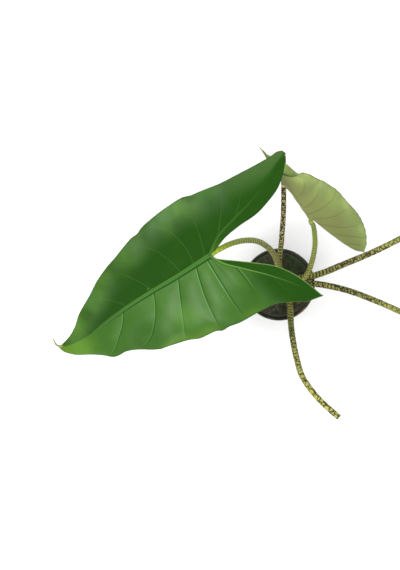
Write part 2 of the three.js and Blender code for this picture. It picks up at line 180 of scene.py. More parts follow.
PLAIN_HALF = {
    "fold": 0.16,
    "clear": 0.8,
    "light": 0.5,
    "pale_rim": 0.0,
    "rib": [(0, 0), (-28, 22), (-62, 46), (-104, 74)],
    "inner": [(0, 0), (-20, 9), (-50, 25), (-82, 48), (-104, 74)],
    "back": [(-104, 74), (-97, 86), (-78, 95), (-50, 97), (-20, 96), (12, 92)],
    "front": [(12, 92), (50, 84), (100, 68), (150, 48), (200, 27), (235, 13), (262, 3), (272, 0)],
    "front_veins": [
        (0.03, -0.02, 0.02), (0.11, 0.05, 0.02), (0.22, 0.09, 0.03), (0.36, 0.11, 0.03),
        (0.52, 0.12, 0.02), (0.69, 0.11, 0), (0.84, 0.07, 0),
    ],
    "back_veins": [(0.2, 0.11, 0), (0.46, 0.12, 0), (0.72, 0.1, 0)],
}


def mirrored(half):
    """The same half on the other side of the midrib."""
    turned = dict(half)
    for edge in ("rib", "inner", "back", "front"):
        turned[edge] = [(u, -v) for u, v in half[edge]]
    return turned


PLAIN_LEAF = {
    "bow": 40,
    "lobe_bow": 10,
    "span": (270, 120, 90),
    "arch": 14,
    "wave": 3,
    "puff": 2.0,
    "midrib": [(0, 0), (70, 1), (140, 0), (210, 1), (272, 0)],
    "halves": [PLAIN_HALF, mirrored(PLAIN_HALF)],
    "drip": [(264, 0, -38.6), (272, 0, -40.4), (278, -2, -40.8), (283, -6, -40.2)],
    "vein_fade": (0.95, 0.72),
}
UPPER_LEAF = dict(PLAIN_LEAF, seat=(185, 104, 520), yaw=42, pitch=48, scale=0.86, vein_seed=5)
LOWER_LEAF = dict(PLAIN_LEAF, seat=(196, -78, 482), yaw=-38, pitch=54, scale=0.94, vein_seed=8)

# The near half lies open, and the far half is rolled up under it. rise lifts the near half, slope
# and sag bend it across, and dome is where it bulges over the roll and how much. roll is the roll's
# radius along the midrib, start the angle where it begins and drop how far under the midrib that is.
YOUNG_LEAF = {
    "seat": (-9.4, 95, 470),
    "yaw": 132.7,
    "pitch": -26.8,
    "near": {
        "edge": [(0, 0), (-33, -8), (-81, -22), (-103, -31), (-117, -41)],
        "back": [(-117, -41), (-115, -52), (-101, -66), (-82, -72), (-59, -71), (-38, -67)],
        "front": [
            (-38, -67), (-24, -65.2), (-8.5, -62), (6.4, -55.6), (22, -48.4), (35.4, -40.4),
            (41, -38), (51.6, -32.6), (59.4, -26.6), (64.5, -19), (67.5, -12.9), (70, -8.6), (75, -4.3),
            (82, -1.2),
        ],
        "front_veins": [(0.074, -0.057, 0.183), (0.228, 0.067, 0.273), (0.464, 0.196, 0.318)],
        "back_veins": [(0.02, 0.431, -0.368), (0.13, 0.85, -0.5), (0.36, 0.75, -0.35), (0.62, 0.5, -0.15)],
    },
    "slope": [(0, -0.22), (50, 0.1)],
    "dome": (24, 64, 0.75),
    "sag": 0.0032,
    "rise": 2,
    "far": {
        "edge": [(0, 0), (-12, 14), (-40, 34), (-85, 55)],
        "back": [(-85, 55), (-80, 62), (-60, 66), (-38, 62)],
        "front": [
            (-38, 62), (0, 54), (20, 54), (40, 57), (58, 61), (64, 61), (70, 60), (82, 56), (89, 51.5),
            (104, 22.6), (112, 9.6), (120, 5.6),
        ],
        "front_veins": [(0.1, -0.05, 0.1), (0.27, 0, 0.15), (0.45, 0.05, 0.1), (0.64, 0.08, 0.05)],
        "back_veins": [(0.2, 0.3, 0), (0.5, 0.3, 0)],
    },
    "start": [(-30, -60), (-10, -42), (0, -35), (20, -65), (40, -92), (52, -108), (60, -118)],
    "drop": 2,
    "roll": [
        (-30, 90), (0, 120), (20, 36), (40, 20), (50, 15.5), (58, 12.8), (64, 11.8), (89, 8.6),
        (104, 3.8), (112, 1.6), (120, 1),
    ],
    "rib_radius": (2.6, 1.1),
    "rib_end": 120,
    "drip": [(104, 0, -2), (113, 0, -1), (121, 0, 0), (127, 1, 1)],
}

# Veins of the narrow strip between a lobe's rib and its inner margin
INNER_VEINS = [(0.2, 0.1, 0), (0.45, 0.1, 0), (0.7, 0.1, 0)]

# Places where the big blade gets a painted highlight, or is duller with painted shade, and how far
# each reaches, in metres
SHEEN_PLACES = [
    ((-0.326, -0.020, 0), 0.026), ((-0.218, 0.095, 0), 0.028), ((-0.345, -0.097, 0), 0.026),
    ((-0.182, -0.044, 0), 0.028), ((-0.160, 0.126, 0), 0.03),
]
DULL_SHADED_PLACES = [
    ((-0.103, -0.030, 0), 0.045), ((-0.238, -0.076, 0), 0.038), ((-0.280, 0.026, 0), 0.034),
]

# Where the young leaf's roll opens, round which shade is painted, where the soil is green and where
# it and the pot's rim are rusty, in metres
ROLL_MOUTH = (-0.052, 0.149, 0.495)
GREEN_SOIL = (0.028, 0.045, 0.119)
RUSTY_SOIL = (0.055, -0.04, 0.119)
RUSTY_RIM = (0.055, -0.047, 0.125)

# Small cross marks of a stalk: how far apart level ones are, and the least share of that
# for upright ones
DASH_GAP = 5.2
DASH_FLOOR = 0.45

# Mean radius of a stalk in its skin pattern, in metres
STALK_RADIUS = 0.005

# The camera looks straight down from here, in metres, with its lens and sensor in millimetres.
CAMERA_PLACE = (-0.164, -0.001, 1.190)
LENS_LENGTH = 32.21
SENSOR_WIDTH = 36

# The floor's half width and how far it lies below the pot, in metres, and the sky's strength
FLOOR_REACH = 4
FLOOR_DROP = 0.0002
WORLD_STRENGTH = 0.18

# Stalks: points from the corm to where each ends, the last ones under a leaf in that leaf's frame,
# radii at foot and end, and along the stalk how bold its marks are and how green it is.
STALKS = [
    {
        "node": "stalk_big_leaf",
        "route": [
            (8, 6, SHOULDER), (8, 6, 104), (-8.8, 32.7, 180), (-19.6, 47.6, 225), (-34.8, 58.9, 275),
            (-55.2, 66.9, 330), (-76.9, 68.3, 390), (-99.7, 64, 445), (-121.2, 55.4, 497),
            (-134.5, 48.1, 522),
        ],
        "leaf": BIG_LEAF,
        "seat": [(-9, 0, -6.4), (3, 0, -5.8)],
        "radii": (6.6, 3.5),
        "bold": [(0, 0.1), (0.5, 0.15), (0.85, 0.1), (1, 0)],
        "green": [(0, 0), (0.55, 0.15), (0.78, 0.55), (0.92, 1), (1, 1)],
    },
    {
        "node": "stalk_cut_back",
        "route": [
            (18, 18, SHOULDER), (18, 18, 104), (-1.5, 38, 150), (-10.5, 84, 230), (-18.4, 125, 300),
            (-27, 160, 355), (-35.2, 202.8, 400),
        ],
        "radii": (5.6, 4),
        "bold": [(0, 0), (0.38, 0.05), (0.47, 0.9), (0.6, 1), (1, 1)],
        "green": [(0, 0), (1, 0)],
    },
    {
        "node": "stalk_young_leaf",
        "route": [
            (35, -15.5, SHOULDER), (35, -15.5, 104), (38.2, -1.5, 160), (41.3, 13.7, 190),
            (42.9, 23.9, 215), (38.5, 47.4, 275), (28.7, 66.1, 335), (15.8, 79, 390), (5, 86.9, 430),
        ],
        "leaf": YOUNG_LEAF,
        "seat": [(-22, -2.2, -16.8), (-13.5, 0.4, -7.6), (-7.4, 1.5, -2.2)],
        "radii": (6, 3.3),
        "bold": [(0, 0.1), (0.55, 0.1), (0.8, 0), (0.955, 0), (0.975, 0.4)],
        "green": [(0, 0.05), (0.4, 0.3), (0.6, 0.55), (0.8, 1), (0.92, 1), (0.96, 0.7)],
    },
    {
        "node": "stalk_upper_leaf",
        "route": [
            (45, 16, SHOULDER), (45, 16, 104), (56, 15, 135), (74, 21.5, 185), (102, 38.5, 262),
            (126, 55, 345), (156, 79, 440),
        ],
        "leaf": UPPER_LEAF,
        "seat": [(-28, 0, -16), (-10, 0, -6.6), (3, 0, -5.2)],
        "radii": (7.2, 3.5),
        "bold": [(0, 0), (0.25, 0.1), (0.34, 0.6), (0.5, 1), (0.8, 0.5), (1, 0.1)],
        "green": [(0, 0), (0.6, 0.1), (0.85, 0.5), (1, 0.9)],
    },
    {
        "node": "stalk_lower_leaf",
        "route": [
            (43, -2, SHOULDER), (43, -2, 104), (52, 2, 150), (71, 0.3, 190), (102, -10.2, 262),
            (129, -28, 345), (160, -51, 425),
        ],
        "leaf": LOWER_LEAF,
        "seat": [(-28, 0, -18), (-10, 0, -6.8), (3, 0, -5.2)],
        "radii": (7, 3.5),
        "bold": [(0, 0.5), (0.15, 0.8), (0.4, 1), (0.8, 0.5), (1, 0.1)],
        "green": [(0, 0), (0.6, 0.1), (0.85, 0.5), (1, 0.9)],
    },
    {
        "node": "stalk_cut_front",
        "route": [
            (21, -20, SHOULDER), (21, -20, 104), (21, -42, 140), (11.6, -86, 210), (8.2, -134, 285),
            (11.5, -160, 325), (31.3, -188.5, 358), (58.2, -212.8, 375),
        ],
        "radii": (6.6, 4.6),
        "bold": [(0, 0.1), (0.3, 0.25), (0.45, 0.5), (0.6, 0.8), (1, 1)],
        "green": [(0, 0.05), (0.4, 0.1), (1, 0.2)],
    },
]


def step(low, high, x):
    """A smooth rise from 0 at low to 1 at high."""
    share = min(max((x - low) / (high - low), 0), 1)
    return share * share * (3 - 2 * share)


def along(table, x):
    """The value at x in a list of pairs, straight between them and level beyond."""
    if x <= table[0][0]:
        return table[0][1]
    for (x0, y0), (x1, y1) in zip(table, table[1:]):
        if x <= x1:
            return y0 + (y1 - y0) * (x - x0) / (x1 - x0)
    return table[-1][1]


class Curve:
    """A smooth curve through points, read by its share of the length."""

    SPLITS = 24
    HEADING_STEP = 0.004

    def __init__(self, points):
        knots = [Vector(p).to_3d() for p in points]
        knots = [2 * knots[0] - knots[1]] + knots + [2 * knots[-1] - knots[-2]]
        self.spots = []
        for p0, p1, p2, p3 in zip(knots, knots[1:], knots[2:], knots[3:]):
            gaps = [max((b - a).length, 1e-4) ** 0.5 for a, b in ((p0, p1), (p1, p2), (p2, p3))]
            leave = (p1 - p0) / gaps[0] - (p2 - p0) / (gaps[0] + gaps[1]) + (p2 - p1) / gaps[1]
            reach = (p2 - p1) / gaps[1] - (p3 - p1) / (gaps[1] + gaps[2]) + (p3 - p2) / gaps[2]
            leave = leave * gaps[1]
            reach = reach * gaps[1]
            for k in range(self.SPLITS):
                t = k / self.SPLITS
                square = 3 * (p2 - p1) - 2 * leave - reach
                cube = 2 * (p1 - p2) + leave + reach
                self.spots.append(p1 + leave * t + square * t * t + cube * t ** 3)
        self.spots.append(knots[-2])
        self.reaches = [0.0]
        for a, b in zip(self.spots, self.spots[1:]):
            self.reaches.append(self.reaches[-1] + (b - a).length)
        self.length = self.reaches[-1]

    def at(self, share):
        reach = min(max(share, 0), 1) * self.length
        low, high = 0, len(self.reaches) - 1
        while high - low > 1:
            middle = (low + high) // 2
            if self.reaches[middle] <= reach:
                low = middle
            else:
                high = middle
        part = (reach - self.reaches[low]) / max(self.reaches[high] - self.reaches[low], 1e-9)
        return self.spots[low].lerp(self.spots[high], part)

    def heading(self, share):
        step_on = self.HEADING_STEP
        return (self.at(share + step_on) - self.at(share - step_on)).normalized()


# Finishes


class Wire:
    """A shader socket that adds Math nodes when it is used in an expression."""

    def __init__(self, finish, socket):
        self.finish = finish
        self.socket = socket

    def maths(self, operation, *values):
        inputs = dict(enumerate(values))
        return self.finish.node("ShaderNodeMath", {"operation": operation}, inputs)

    def __add__(self, other):
        return self.maths("ADD", self, other)

    def __radd__(self, other):
        return self.maths("ADD", other, self)

    def __sub__(self, other):
        return self.maths("SUBTRACT", self, other)

    def __rsub__(self, other):
        return self.maths("SUBTRACT", other, self)

    def __mul__(self, other):
        return self.maths("MULTIPLY", self, other)

    def __rmul__(self, other):
        return self.maths("MULTIPLY", other, self)

    def __truediv__(self, other):
        return self.maths("DIVIDE", self, other)

    def __rtruediv__(self, other):
        return self.maths("DIVIDE", other, self)

    def __abs__(self):
        return self.maths("ABSOLUTE", self)

    def fraction(self):
        return self.maths("FRACT", self)

    def sine(self):
        return self.maths("SINE", self)

    def cosine(self):
        return self.maths("COSINE", self)

    def higher_of(self, other):
        return self.maths("MAXIMUM", self, other)

    def rise(self, low, high):
        """0 below low and 1 above high, smooth between; low may be the larger."""
        settings = {"interpolation_type": "SMOOTHSTEP", "clamp": True}
        inputs = {"Value": self, "From Min": low, "From Max": high}
        return self.finish.node("ShaderNodeMapRange", settings, inputs)


class Finish:
    """A procedural material."""

    def __init__(self, name):
        self.material = bpy.data.materials.new(name)
        self.material.use_nodes = True
        self.tree = self.material.node_tree
        self.tree.nodes.clear()

    def node(self, kind, settings=None, inputs=None, output=0):
        """Add a node and return one of its outputs; inputs are values or other wires."""
        made = self.tree.nodes.new(kind)
        for key, value in (settings or {}).items():
            if key == "stops":
                ramp = made.color_ramp.elements
                while len(ramp) < len(value):
                    ramp.new(0.5)
                for element, (position, colour) in zip(ramp, value):
                    element.position = position
                    element.color = (*colour, 1)
            else:
                setattr(made, key, value)
        for key, value in (inputs or {}).items():
            if isinstance(value, Wire):
                self.tree.links.new(value.socket, made.inputs[key])
            else:
                made.inputs[key].default_value = value
        return Wire(self, made.outputs[output]) if made.outputs else None

    def map_of(self, name):
        """The two values of a UV map."""
        place = self.node("ShaderNodeUVMap", {"uv_map": name})
        return [self.node("ShaderNodeSeparateXYZ", {}, {0: place}, output) for output in (0, 1)]

    def object_place(self):
        return self.node("ShaderNodeTexCoord", {}, {}, "Object")

    def vector(self, x, y, z):
        return self.node("ShaderNodeCombineXYZ", {}, {0: x, 1: y, 2: z})

    def grain(self, place, scale, detail=3, roughness=0.5):
        inputs = {"Vector": place, "Scale": scale, "Detail": detail, "Roughness": roughness}
        return self.node("ShaderNodeTexNoise", {}, inputs)

    def cells(self, place, scale, feature="F1"):
        return self.node("ShaderNodeTexVoronoi", {"feature": feature}, {"Vector": place, "Scale": scale})

    def mix(self, share, first, second):
        colours = [value if isinstance(value, Wire) else (*value, 1) for value in (first, second)]
        inputs = {0: share, 6: colours[0], 7: colours[1]}
        return self.node("ShaderNodeMix", {"data_type": "RGBA"}, inputs, 2)

    def stretched(self, place, by):
        """A place with each coordinate multiplied."""
        return self.node("ShaderNodeVectorMath", {"operation": "MULTIPLY"}, {0: place, 1: by})

    def away_from(self, place, centre):
        """How far a place is from a centre."""
        inputs = {0: place, 1: centre}
        return self.node("ShaderNodeVectorMath", {"operation": "DISTANCE"}, inputs, "Value")

    def bump(self, height, distance, strength):
        inputs = {"Height": height, "Distance": distance, "Strength": strength}
        return self.node("ShaderNodeBump", {}, inputs)

    def surface(self, colour, roughness, **others):
        """The material with this colour and roughness, and other sockets of its shader."""
        inputs = {"Base Color": colour, "Roughness": roughness}
        inputs.update({name.replace("_", " "): value for name, value in others.items()})
        shader = self.node("ShaderNodeBsdfPrincipled", {}, inputs)
        self.node("ShaderNodeOutputMaterial", {}, {"Surface": shader})
        return self.material


def vein_lines(finish, per_gap, half_width, wander=None):
    """1 on the side veins and 0 away from them; per_gap veins stand for each mapped one."""
    phase, spacing = finish.map_of("vein")
    if wander:
        phase = phase + wander
    away = abs((phase * per_gap + 0.5).fraction() - 0.5) * spacing / per_gap
    return away.rise(half_width, half_width * 0.3)


def leaf_top(name, deep, fresh, gold):
    """Glossy upper side: light ribs with a painted shadow along one flank, darker thin margins,
    painted sheen on the half that faces the lamps, and painted highlights and painted shade along
    the midrib and at a few places.
    """
    finish = Finish(name)
    place = finish.object_place()
    rib, margin = finish.map_of("rib")
    reach, clear_or_inner = finish.map_of("place")
    clear = clear_or_inner.higher_of(0)
    inner_strip = clear_or_inner.rise(-0.4, -0.6)
    light, pale_rim = finish.map_of("tone")
    phase, spacing = finish.map_of("vein")
    broad = finish.grain(place, 9)
    soft = finish.grain(place, 24)
    fine = finish.grain(place, 60, 4, 0.6)
    aside = ((phase + 0.5).fraction() - 0.5) * spacing
    side_veins = abs(aside).rise(1.0, 0.45) * clear
    shaded_flank = abs(aside + 1.8).rise(1.35, 0.45) * clear
    small_veins = vein_lines(finish, 7, 0.35, finish.grain(place, 35, 2) * 0.25)
    net = finish.cells(place, 420, "DISTANCE_TO_EDGE").rise(0.09, 0.0)
    lobe = reach.rise(0.0, -0.12)
    deep_lobe = reach.rise(-0.2, -0.45)
    off_lobe = reach.rise(-0.2, 0.05)
    # Painted sheen: the half that faces the lamps is painted lighter and the other half darker, over random
    # tone.
    colour = finish.mix((light + (broad - 0.5) * 0.9).rise(0.0, 1.1), deep, fresh)
    # Painted sheen patches: soft lighter clouds, stronger on the half painted as lit.
    colour = finish.mix(soft.rise(0.45, 0.75) * (light * 0.25 + 0.05), colour, (0.06, 0.16, 0.025))
    # Painted sheen along the margin of the darker half, where the blade curves down towards the lamps.
    margin_sheen = margin.rise(45, 6) * (1 - light) * (soft.rise(0.3, 0.7) * 0.5 + 0.2)
    colour = finish.mix(margin_sheen * off_lobe, colour, (0.065, 0.165, 0.014))
    colour = finish.mix(small_veins * 0.12, colour, fresh)
    blush = reach.rise(0.68, 0.92) * light * (fine * 0.6 + 0.5)
    edge_blush = margin.rise(16, 1) * broad.rise(0.44, 0.6) * (light * 0.5 + 0.15) * off_lobe
    colour = finish.mix(blush.higher_of(edge_blush), colour, gold)
    # Painted shadow: a dark line along one flank of each side vein, as cast by its ridge.
    colour = finish.mix(shaded_flank * (light * 0.8 + 0.15), colour, (0.006, 0.042, 0.003))
    lobe_sheen = (1 - light) * (1 - pale_rim * 2) * margin.rise(34, 4) * reach.rise(-0.02, -0.3)
    lobe_sheen = lobe_sheen * (1 - inner_strip) * (broad * 0.6 + 0.3) * rib.rise(1, 14)
    colour = finish.mix(lobe_sheen * 0.55, colour, (0.08, 0.15, 0.045))
    # The side veins are paler, and they are painted brighter on the half painted as lit.
    vein = finish.mix(light, (0.05, 0.15, 0.025), (0.11, 0.28, 0.06))
    colour = finish.mix(side_veins * (0.55 - light * 0.13), colour, vein)
    fading = abs(reach).rise(0.9, 0.35) * (1 - lobe * (0.6 - pale_rim * 0.6))
    ridge = rib.rise(1.05, 0.85) * fading
    ridge_green = finish.mix(lobe * pale_rim, (0.036, 0.115, 0.014), (0.085, 0.19, 0.04))
    colour = finish.mix(ridge * 0.85, colour, ridge_green)
    # Painted highlight along the midrib's upper edge, and painted shade along its lower edge.
    rib_highlight = rib.rise(0.35, 0.6) * ridge * (1 - light)
    colour = finish.mix(rib_highlight * 0.3, colour, (0.06, 0.17, 0.026))
    rib_shade = rib.rise(0.65, 0.85) * rib.rise(1.85, 1.4) * light * fading
    colour = finish.mix(rib_shade * 0.95, colour, (0.006, 0.045, 0.002))
    rim = finish.mix(pale_rim, (0.015, 0.045, 0.008), (0.16, 0.25, 0.07))
    colour = finish.mix(margin.rise(1.2, 0.4) * 0.7, colour, rim)
    speck = finish.cells(place, 38).rise(0.07, 0.04) * finish.grain(place, 21, 1).rise(0.58, 0.62)
    colour = finish.mix(speck * 0.4, colour, (0.12, 0.22, 0.07))
    drip_tip = reach.rise(1.3, 1.6)
    colour = finish.mix(drip_tip * 0.9, colour, (0.22, 0.26, 0.09))
    flat = finish.stretched(place, (1, 1, 0))
    # Painted shade where the blade is duller, which there is also rougher.
    dull_shade = 0
    for centre, size in DULL_SHADED_PLACES:
        dull_shade = dull_shade + finish.away_from(flat, centre).rise(size, size * 0.3)
    # Painted highlights at a few places, greener on the half painted as lit.
    sheen_spots = 0
    for centre, size in SHEEN_PLACES:
        sheen_spots = sheen_spots + finish.away_from(flat, centre).rise(size, size * 0.2)
    sheen_green = finish.mix(light, (0.055, 0.15, 0.03), (0.09, 0.21, 0.03))
    colour = finish.mix(sheen_spots * (soft * 0.6 + 0.1), colour, sheen_green)
    colour = finish.mix(dull_shade * 0.3, colour, deep)
    relief = 0.5 + fine * 0.2 - net * 0.05 - small_veins * 0.08 + side_veins * 0.35 - shaded_flank * 0.3
    bump = finish.bump(relief, 0.0006, 0.7)
    shelter = (1 - light) * margin.rise(12, 48).higher_of(deep_lobe).higher_of(inner_strip)
    matt_lines = (shaded_flank * light).higher_of(rib_shade).higher_of(ridge)
    roughness = 0.33 + fine * 0.14 + shelter * 0.6 + dull_shade * 0.35 + matt_lines * 0.4
    return finish.surface(colour, roughness, Normal=bump, Specular_IOR_Level=0.38)


def leaf_under(name, pale, shade, bright, vein, strength):
    """Matt under side, lighter towards the margin, with fine veins; painted shade inside the roll and
    on the open half round where it opens.
    """
    finish = Finish(name)
    place = finish.object_place()
    rib, margin = finish.map_of("rib")
    aside, clear = finish.map_of("place")
    inward, _ = finish.map_of("tone")
    broad = finish.grain(place, 14)
    fine = finish.grain(place, 110, 4, 0.6)
    side_veins = vein_lines(finish, 1, 0.6) * clear
    small_veins = vein_lines(finish, 6, 0.4, finish.grain(place, 35, 2) * 0.25)
    net = finish.cells(place, 420, "DISTANCE_TO_EDGE").rise(0.1, 0.0)
    colour = finish.mix((aside + (broad - 0.5) * 1.1).rise(0.0, 1.0), shade, pale)
    colour = finish.mix(small_veins * 0.1 * strength, colour, vein)
    colour = finish.mix(side_veins * strength, colour, vein)
    colour = finish.mix(rib.rise(1.1, 0.8) * 0.5 * strength, colour, vein)
    from_mouth = finish.away_from(place, ROLL_MOUTH)
    # Painted shade inside the roll near its mouth.
    roll_shade = inward * (from_mouth + fine * 0.004).rise(0.024, 0.008)
    colour = finish.mix(roll_shade * 0.85, colour, (0.04, 0.085, 0.016))
    # Painted shade, darker and browner, on the open half round the roll's mouth.
    lip = (1 - inward) * from_mouth.rise(0.036, 0.012) * strength
    colour = finish.mix(lip * 0.8, colour, (0.14, 0.145, 0.05))
    glow = margin.rise(24, 6) * broad.rise(0.46, 0.6) * (1 - inward) * from_mouth.rise(0.016, 0.034)
    colour = finish.mix(glow * strength * 0.8, colour, bright)
    colour = finish.mix(margin.rise(2.0, 0.8) * 0.8, colour, (0.06, 0.08, 0.035))
    relief = 0.4 + fine * 0.2 + net * 0.05 + small_veins * 0.06 + side_veins * 0.3
    bump = finish.bump(relief, 0.0005, 0.7)
    return finish.surface(colour, 0.5 + fine * 0.12, Normal=bump, Specular_IOR_Level=0.3)


def stalk_skin():
    """Olive to yellow-green skin with dark cross marks, bolder where the stalk's tone says so."""
    finish = Finish("stalk_skin")
    turn, reach = finish.map_of("skin")
    bold, green = finish.map_of("tone")
    cut, dashes = finish.map_of("cut")
    angle = turn * math.tau
    round_x = angle.cosine() * STALK_RADIUS
    round_y = angle.sine() * STALK_RADIUS
    zig = abs((turn * 4).fraction() - 0.5)
    ragged = finish.grain(finish.vector(round_x, round_y, reach), 300, 2)
    patches = finish.vector(round_x, round_y, reach * 1.45 + ragged * 0.004)
    between = finish.cells(patches, 104, "DISTANCE_TO_EDGE")
    bold_mark = (between + green * 0.35).rise(0.2, 0.12)
    stitch = (dashes + zig * 0.8 + ragged * 0.8).fraction()
    small_mark = abs(stitch - 0.5).rise(0.3, 0.22) * ragged.rise(0.3, 0.38)
    small_share = (0.95 - green * 0.6) * bold.rise(0.6, 0.3)
    mark = (small_mark * small_share).higher_of(bold_mark * bold.rise(0.15, 0.5))
    place = finish.object_place()
    wash = finish.grain(place, 45)
    cream = finish.mix(green.rise(0.0, 0.06), (0.52, 0.45, 0.18), (0.4, 0.365, 0.115))
    base = finish.mix(bold * 0.95, (0.35, 0.34, 0.09), cream)
    base = finish.mix(wash.rise(0.35, 0.7) * 0.25, base, (0.15, 0.15, 0.045))
    base = finish.mix(green, base, (0.24, 0.33, 0.025))
    dark = finish.mix(bold, (0.03, 0.032, 0.007), (0.04, 0.031, 0.01))
    dark = finish.mix(green * 0.8, dark, (0.05, 0.09, 0.006))
    colour = finish.mix(mark, base, dark)
    flesh = finish.mix(green.rise(0.0, 0.15), (0.035, 0.025, 0.014), (0.36, 0.36, 0.15))
    colour = finish.mix(cut.rise(0.25, 0.45), colour, flesh)
    colour = finish.mix(cut.rise(0.02, 0.12) * cut.rise(0.55, 0.3), colour, (0.04, 0.028, 0.014))
    ribs = finish.grain(finish.vector(round_x, round_y, reach * 0.12), 900, 2)
    bump = finish.bump(0.4 + ribs * 0.5 - mark * 0.12, 0.0004, 0.5)
    return finish.surface(colour, 0.55 + wash * 0.15, Normal=bump, Specular_IOR_Level=0.2)


def pot_plastic():
    """Black plastic with dust, and dried soil splashed on its rim's inner side, painted lighter below
    the rim's top as painted light over the wall's shade.
    """
    finish = Finish("pot_plastic")
    place = finish.object_place()
    cloud = finish.grain(place, 18, 4)
    scuff = finish.grain(finish.stretched(place, (1, 1, 9)), 60, 5, 0.7)
    dust = scuff.rise(0.56, 0.74)
    colour = finish.mix(cloud.rise(0.35, 0.7), (0.009, 0.01, 0.01), (0.018, 0.02, 0.018))
    colour = finish.mix(dust * 0.35, colour, (0.07, 0.065, 0.055))
    out = finish.away_from(finish.stretched(place, (1, 1, 0)), (0, 0, 0))
    high = finish.node("ShaderNodeSeparateXYZ", {}, {0: place}, 2)
    splash_and_painted_light = out.rise(0.0745, 0.0736) * high.rise(0.113, 0.116)
    silt = finish.mix(scuff.rise(0.4, 0.6), (0.018, 0.022, 0.014), (0.06, 0.066, 0.042))
    # Painted light: below the rim's top the inner wall is made lighter, taking away its shade.
    silt = finish.mix(high.rise(0.1296, 0.128) * 0.35, silt, (0.11, 0.12, 0.08))
    rust = finish.away_from(place, RUSTY_RIM).rise(0.028, 0.014)
    silt = finish.mix(rust * scuff.rise(0.42, 0.55) * 0.9, silt, (0.24, 0.15, 0.09))
    colour = finish.mix(splash_and_painted_light * 0.9, colour, silt)
    orange_peel = finish.grain(place, 900, 2)
    bump = finish.bump(orange_peel * 0.6 + scuff * 0.3, 0.0002, 0.6)
    return finish.surface(colour, 0.36 + dust * 0.3 + cloud * 0.08, Normal=bump)


def soil_earth():
    """Dark lumpy soil, green in one place, rusty in another and silty round its edge."""
    finish = Finish("soil_earth")
    place = finish.object_place()
    lumps = finish.grain(place, 70, 5, 0.65)
    crumbs = finish.cells(place, 330)
    patches = finish.grain(place, 22)
    ragged = patches * 0.03
    moss = (finish.away_from(place, GREEN_SOIL) + ragged).rise(0.045, 0.026)
    rust = (finish.away_from(place, RUSTY_SOIL) + ragged).rise(0.042, 0.025)
    stops = [
        (0.25, (0.006, 0.007, 0.005)), (0.45, (0.017, 0.021, 0.013)), (0.6, (0.03, 0.034, 0.02)),
        (0.78, (0.07, 0.06, 0.04)),
    ]
    colour = finish.node("ShaderNodeValToRGB", {"stops": stops}, {0: lumps})
    colour = finish.mix(patches.rise(0.5, 0.68) * 0.6, colour, (0.02, 0.03, 0.015))
    colour = finish.mix(moss * lumps.rise(0.3, 0.6) * 0.75, colour, (0.02, 0.05, 0.01))
    colour = finish.mix(rust * lumps.rise(0.45, 0.6) * 0.8, colour, (0.11, 0.065, 0.035))
    colour = finish.mix(crumbs.rise(0.5, 0.1) * 0.35, colour, (0.018, 0.017, 0.012))
    silt = finish.away_from(place, (0, 0, SOIL_TOP * MM)).rise(0.062, 0.0685)
    colour = finish.mix(silt * 0.75, colour, (0.06, 0.066, 0.042))
    bump = finish.bump(lumps * 0.7 + crumbs * 0.4, 0.0015, 0.9)
    return finish.surface(colour, 0.85 + lumps * 0.1, Normal=bump)


def bark_chip():
    finish = Finish("bark_chip")
    place = finish.object_place()
    tone = finish.grain(place, 95)
    fibre = finish.grain(place, 700, 3, 0.7)
    colour = finish.mix(tone.rise(0.35, 0.65), (0.015, 0.013, 0.009), (0.06, 0.045, 0.028))
    colour = finish.mix(fibre.rise(0.5, 0.75) * 0.3, colour, (0.11, 0.085, 0.055))
    return finish.surface(colour, 0.75 + fibre * 0.2, Normal=finish.bump(fibre, 0.0005, 0.8))


def perlite():
    finish = Finish("perlite")
    place = finish.object_place()
    tone = finish.grain(place, 300)
    colour = finish.mix(tone.rise(0.35, 0.7), (0.12, 0.12, 0.1), (0.27, 0.26, 0.22))
    pores = finish.bump(finish.cells(place, 900), 0.0004, 0.8)
    return finish.surface(colour, 0.9 - tone * 0.1, Normal=pores)


def moss_green():
    finish = Finish("moss_green")
    place = finish.object_place()
    tone = finish.grain(place, 120)
    colour = finish.mix(tone.rise(0.35, 0.65), (0.015, 0.035, 0.008), (0.035, 0.075, 0.014))
    return finish.surface(colour, 0.8 + tone * 0.1, Normal=finish.bump(tone, 0.0004, 0.5))


def corm_bark():
    finish = Finish("corm_bark")
    place = finish.object_place()
    rings = finish.grain(finish.stretched(place, (1, 1, 8)), 60, 4, 0.65)
    fibre = finish.grain(place, 420, 3, 0.6)
    colour = finish.mix(rings.rise(0.35, 0.65), (0.08, 0.05, 0.028), (0.27, 0.2, 0.11))
    colour = finish.mix(fibre.rise(0.45, 0.7) * 0.4, colour, (0.05, 0.035, 0.02))
    bump = finish.bump(rings * 0.7 + fibre * 0.3, 0.0012, 0.9)
    return finish.surface(colour, 0.65 + fibre * 0.2, Normal=bump)


def floor_paper():
    finish = Finish("floor_paper")
    place = finish.object_place()
    tone = finish.grain(place, 2.5)
    colour = finish.mix(tone, (0.86, 0.86, 0.855), (0.9, 0.9, 0.895))
    return finish.surface(colour, 0.9 - tone * 0.05)


# Making pieces


# What the finishes read. vein is how many side veins lie before a place and how far apart they are,
# rib how many widths from a rib and how many millimetres from the margin it is, place how far along
# the leaf and how clear its veins are, and tone how much painted sheen it gets and how pale its
# margin is. On the young leaf, place starts with how far aside it is and tone says whether it is
# rolled in. On a stalk, skin is the turn and the length, tone how bold and how green it is, and cut
# the cut face and the marks.
MAPS = ("vein", "rib", "place", "skin", "tone", "cut")

# Values of the first two maps where there is neither a vein nor a rib
NO_VEIN = (0.5, 60)
NO_RIB = (9, 60)


def new_shape():
    """An empty mesh with its UV maps."""
    shape = bmesh.new()
    maps = {name: shape.loops.layers.uv.new(name) for name in MAPS}
    return shape, maps


def faces_of(verts):
    """The faces that meet these vertices."""
    return {face for vert in verts for face in vert.link_faces}


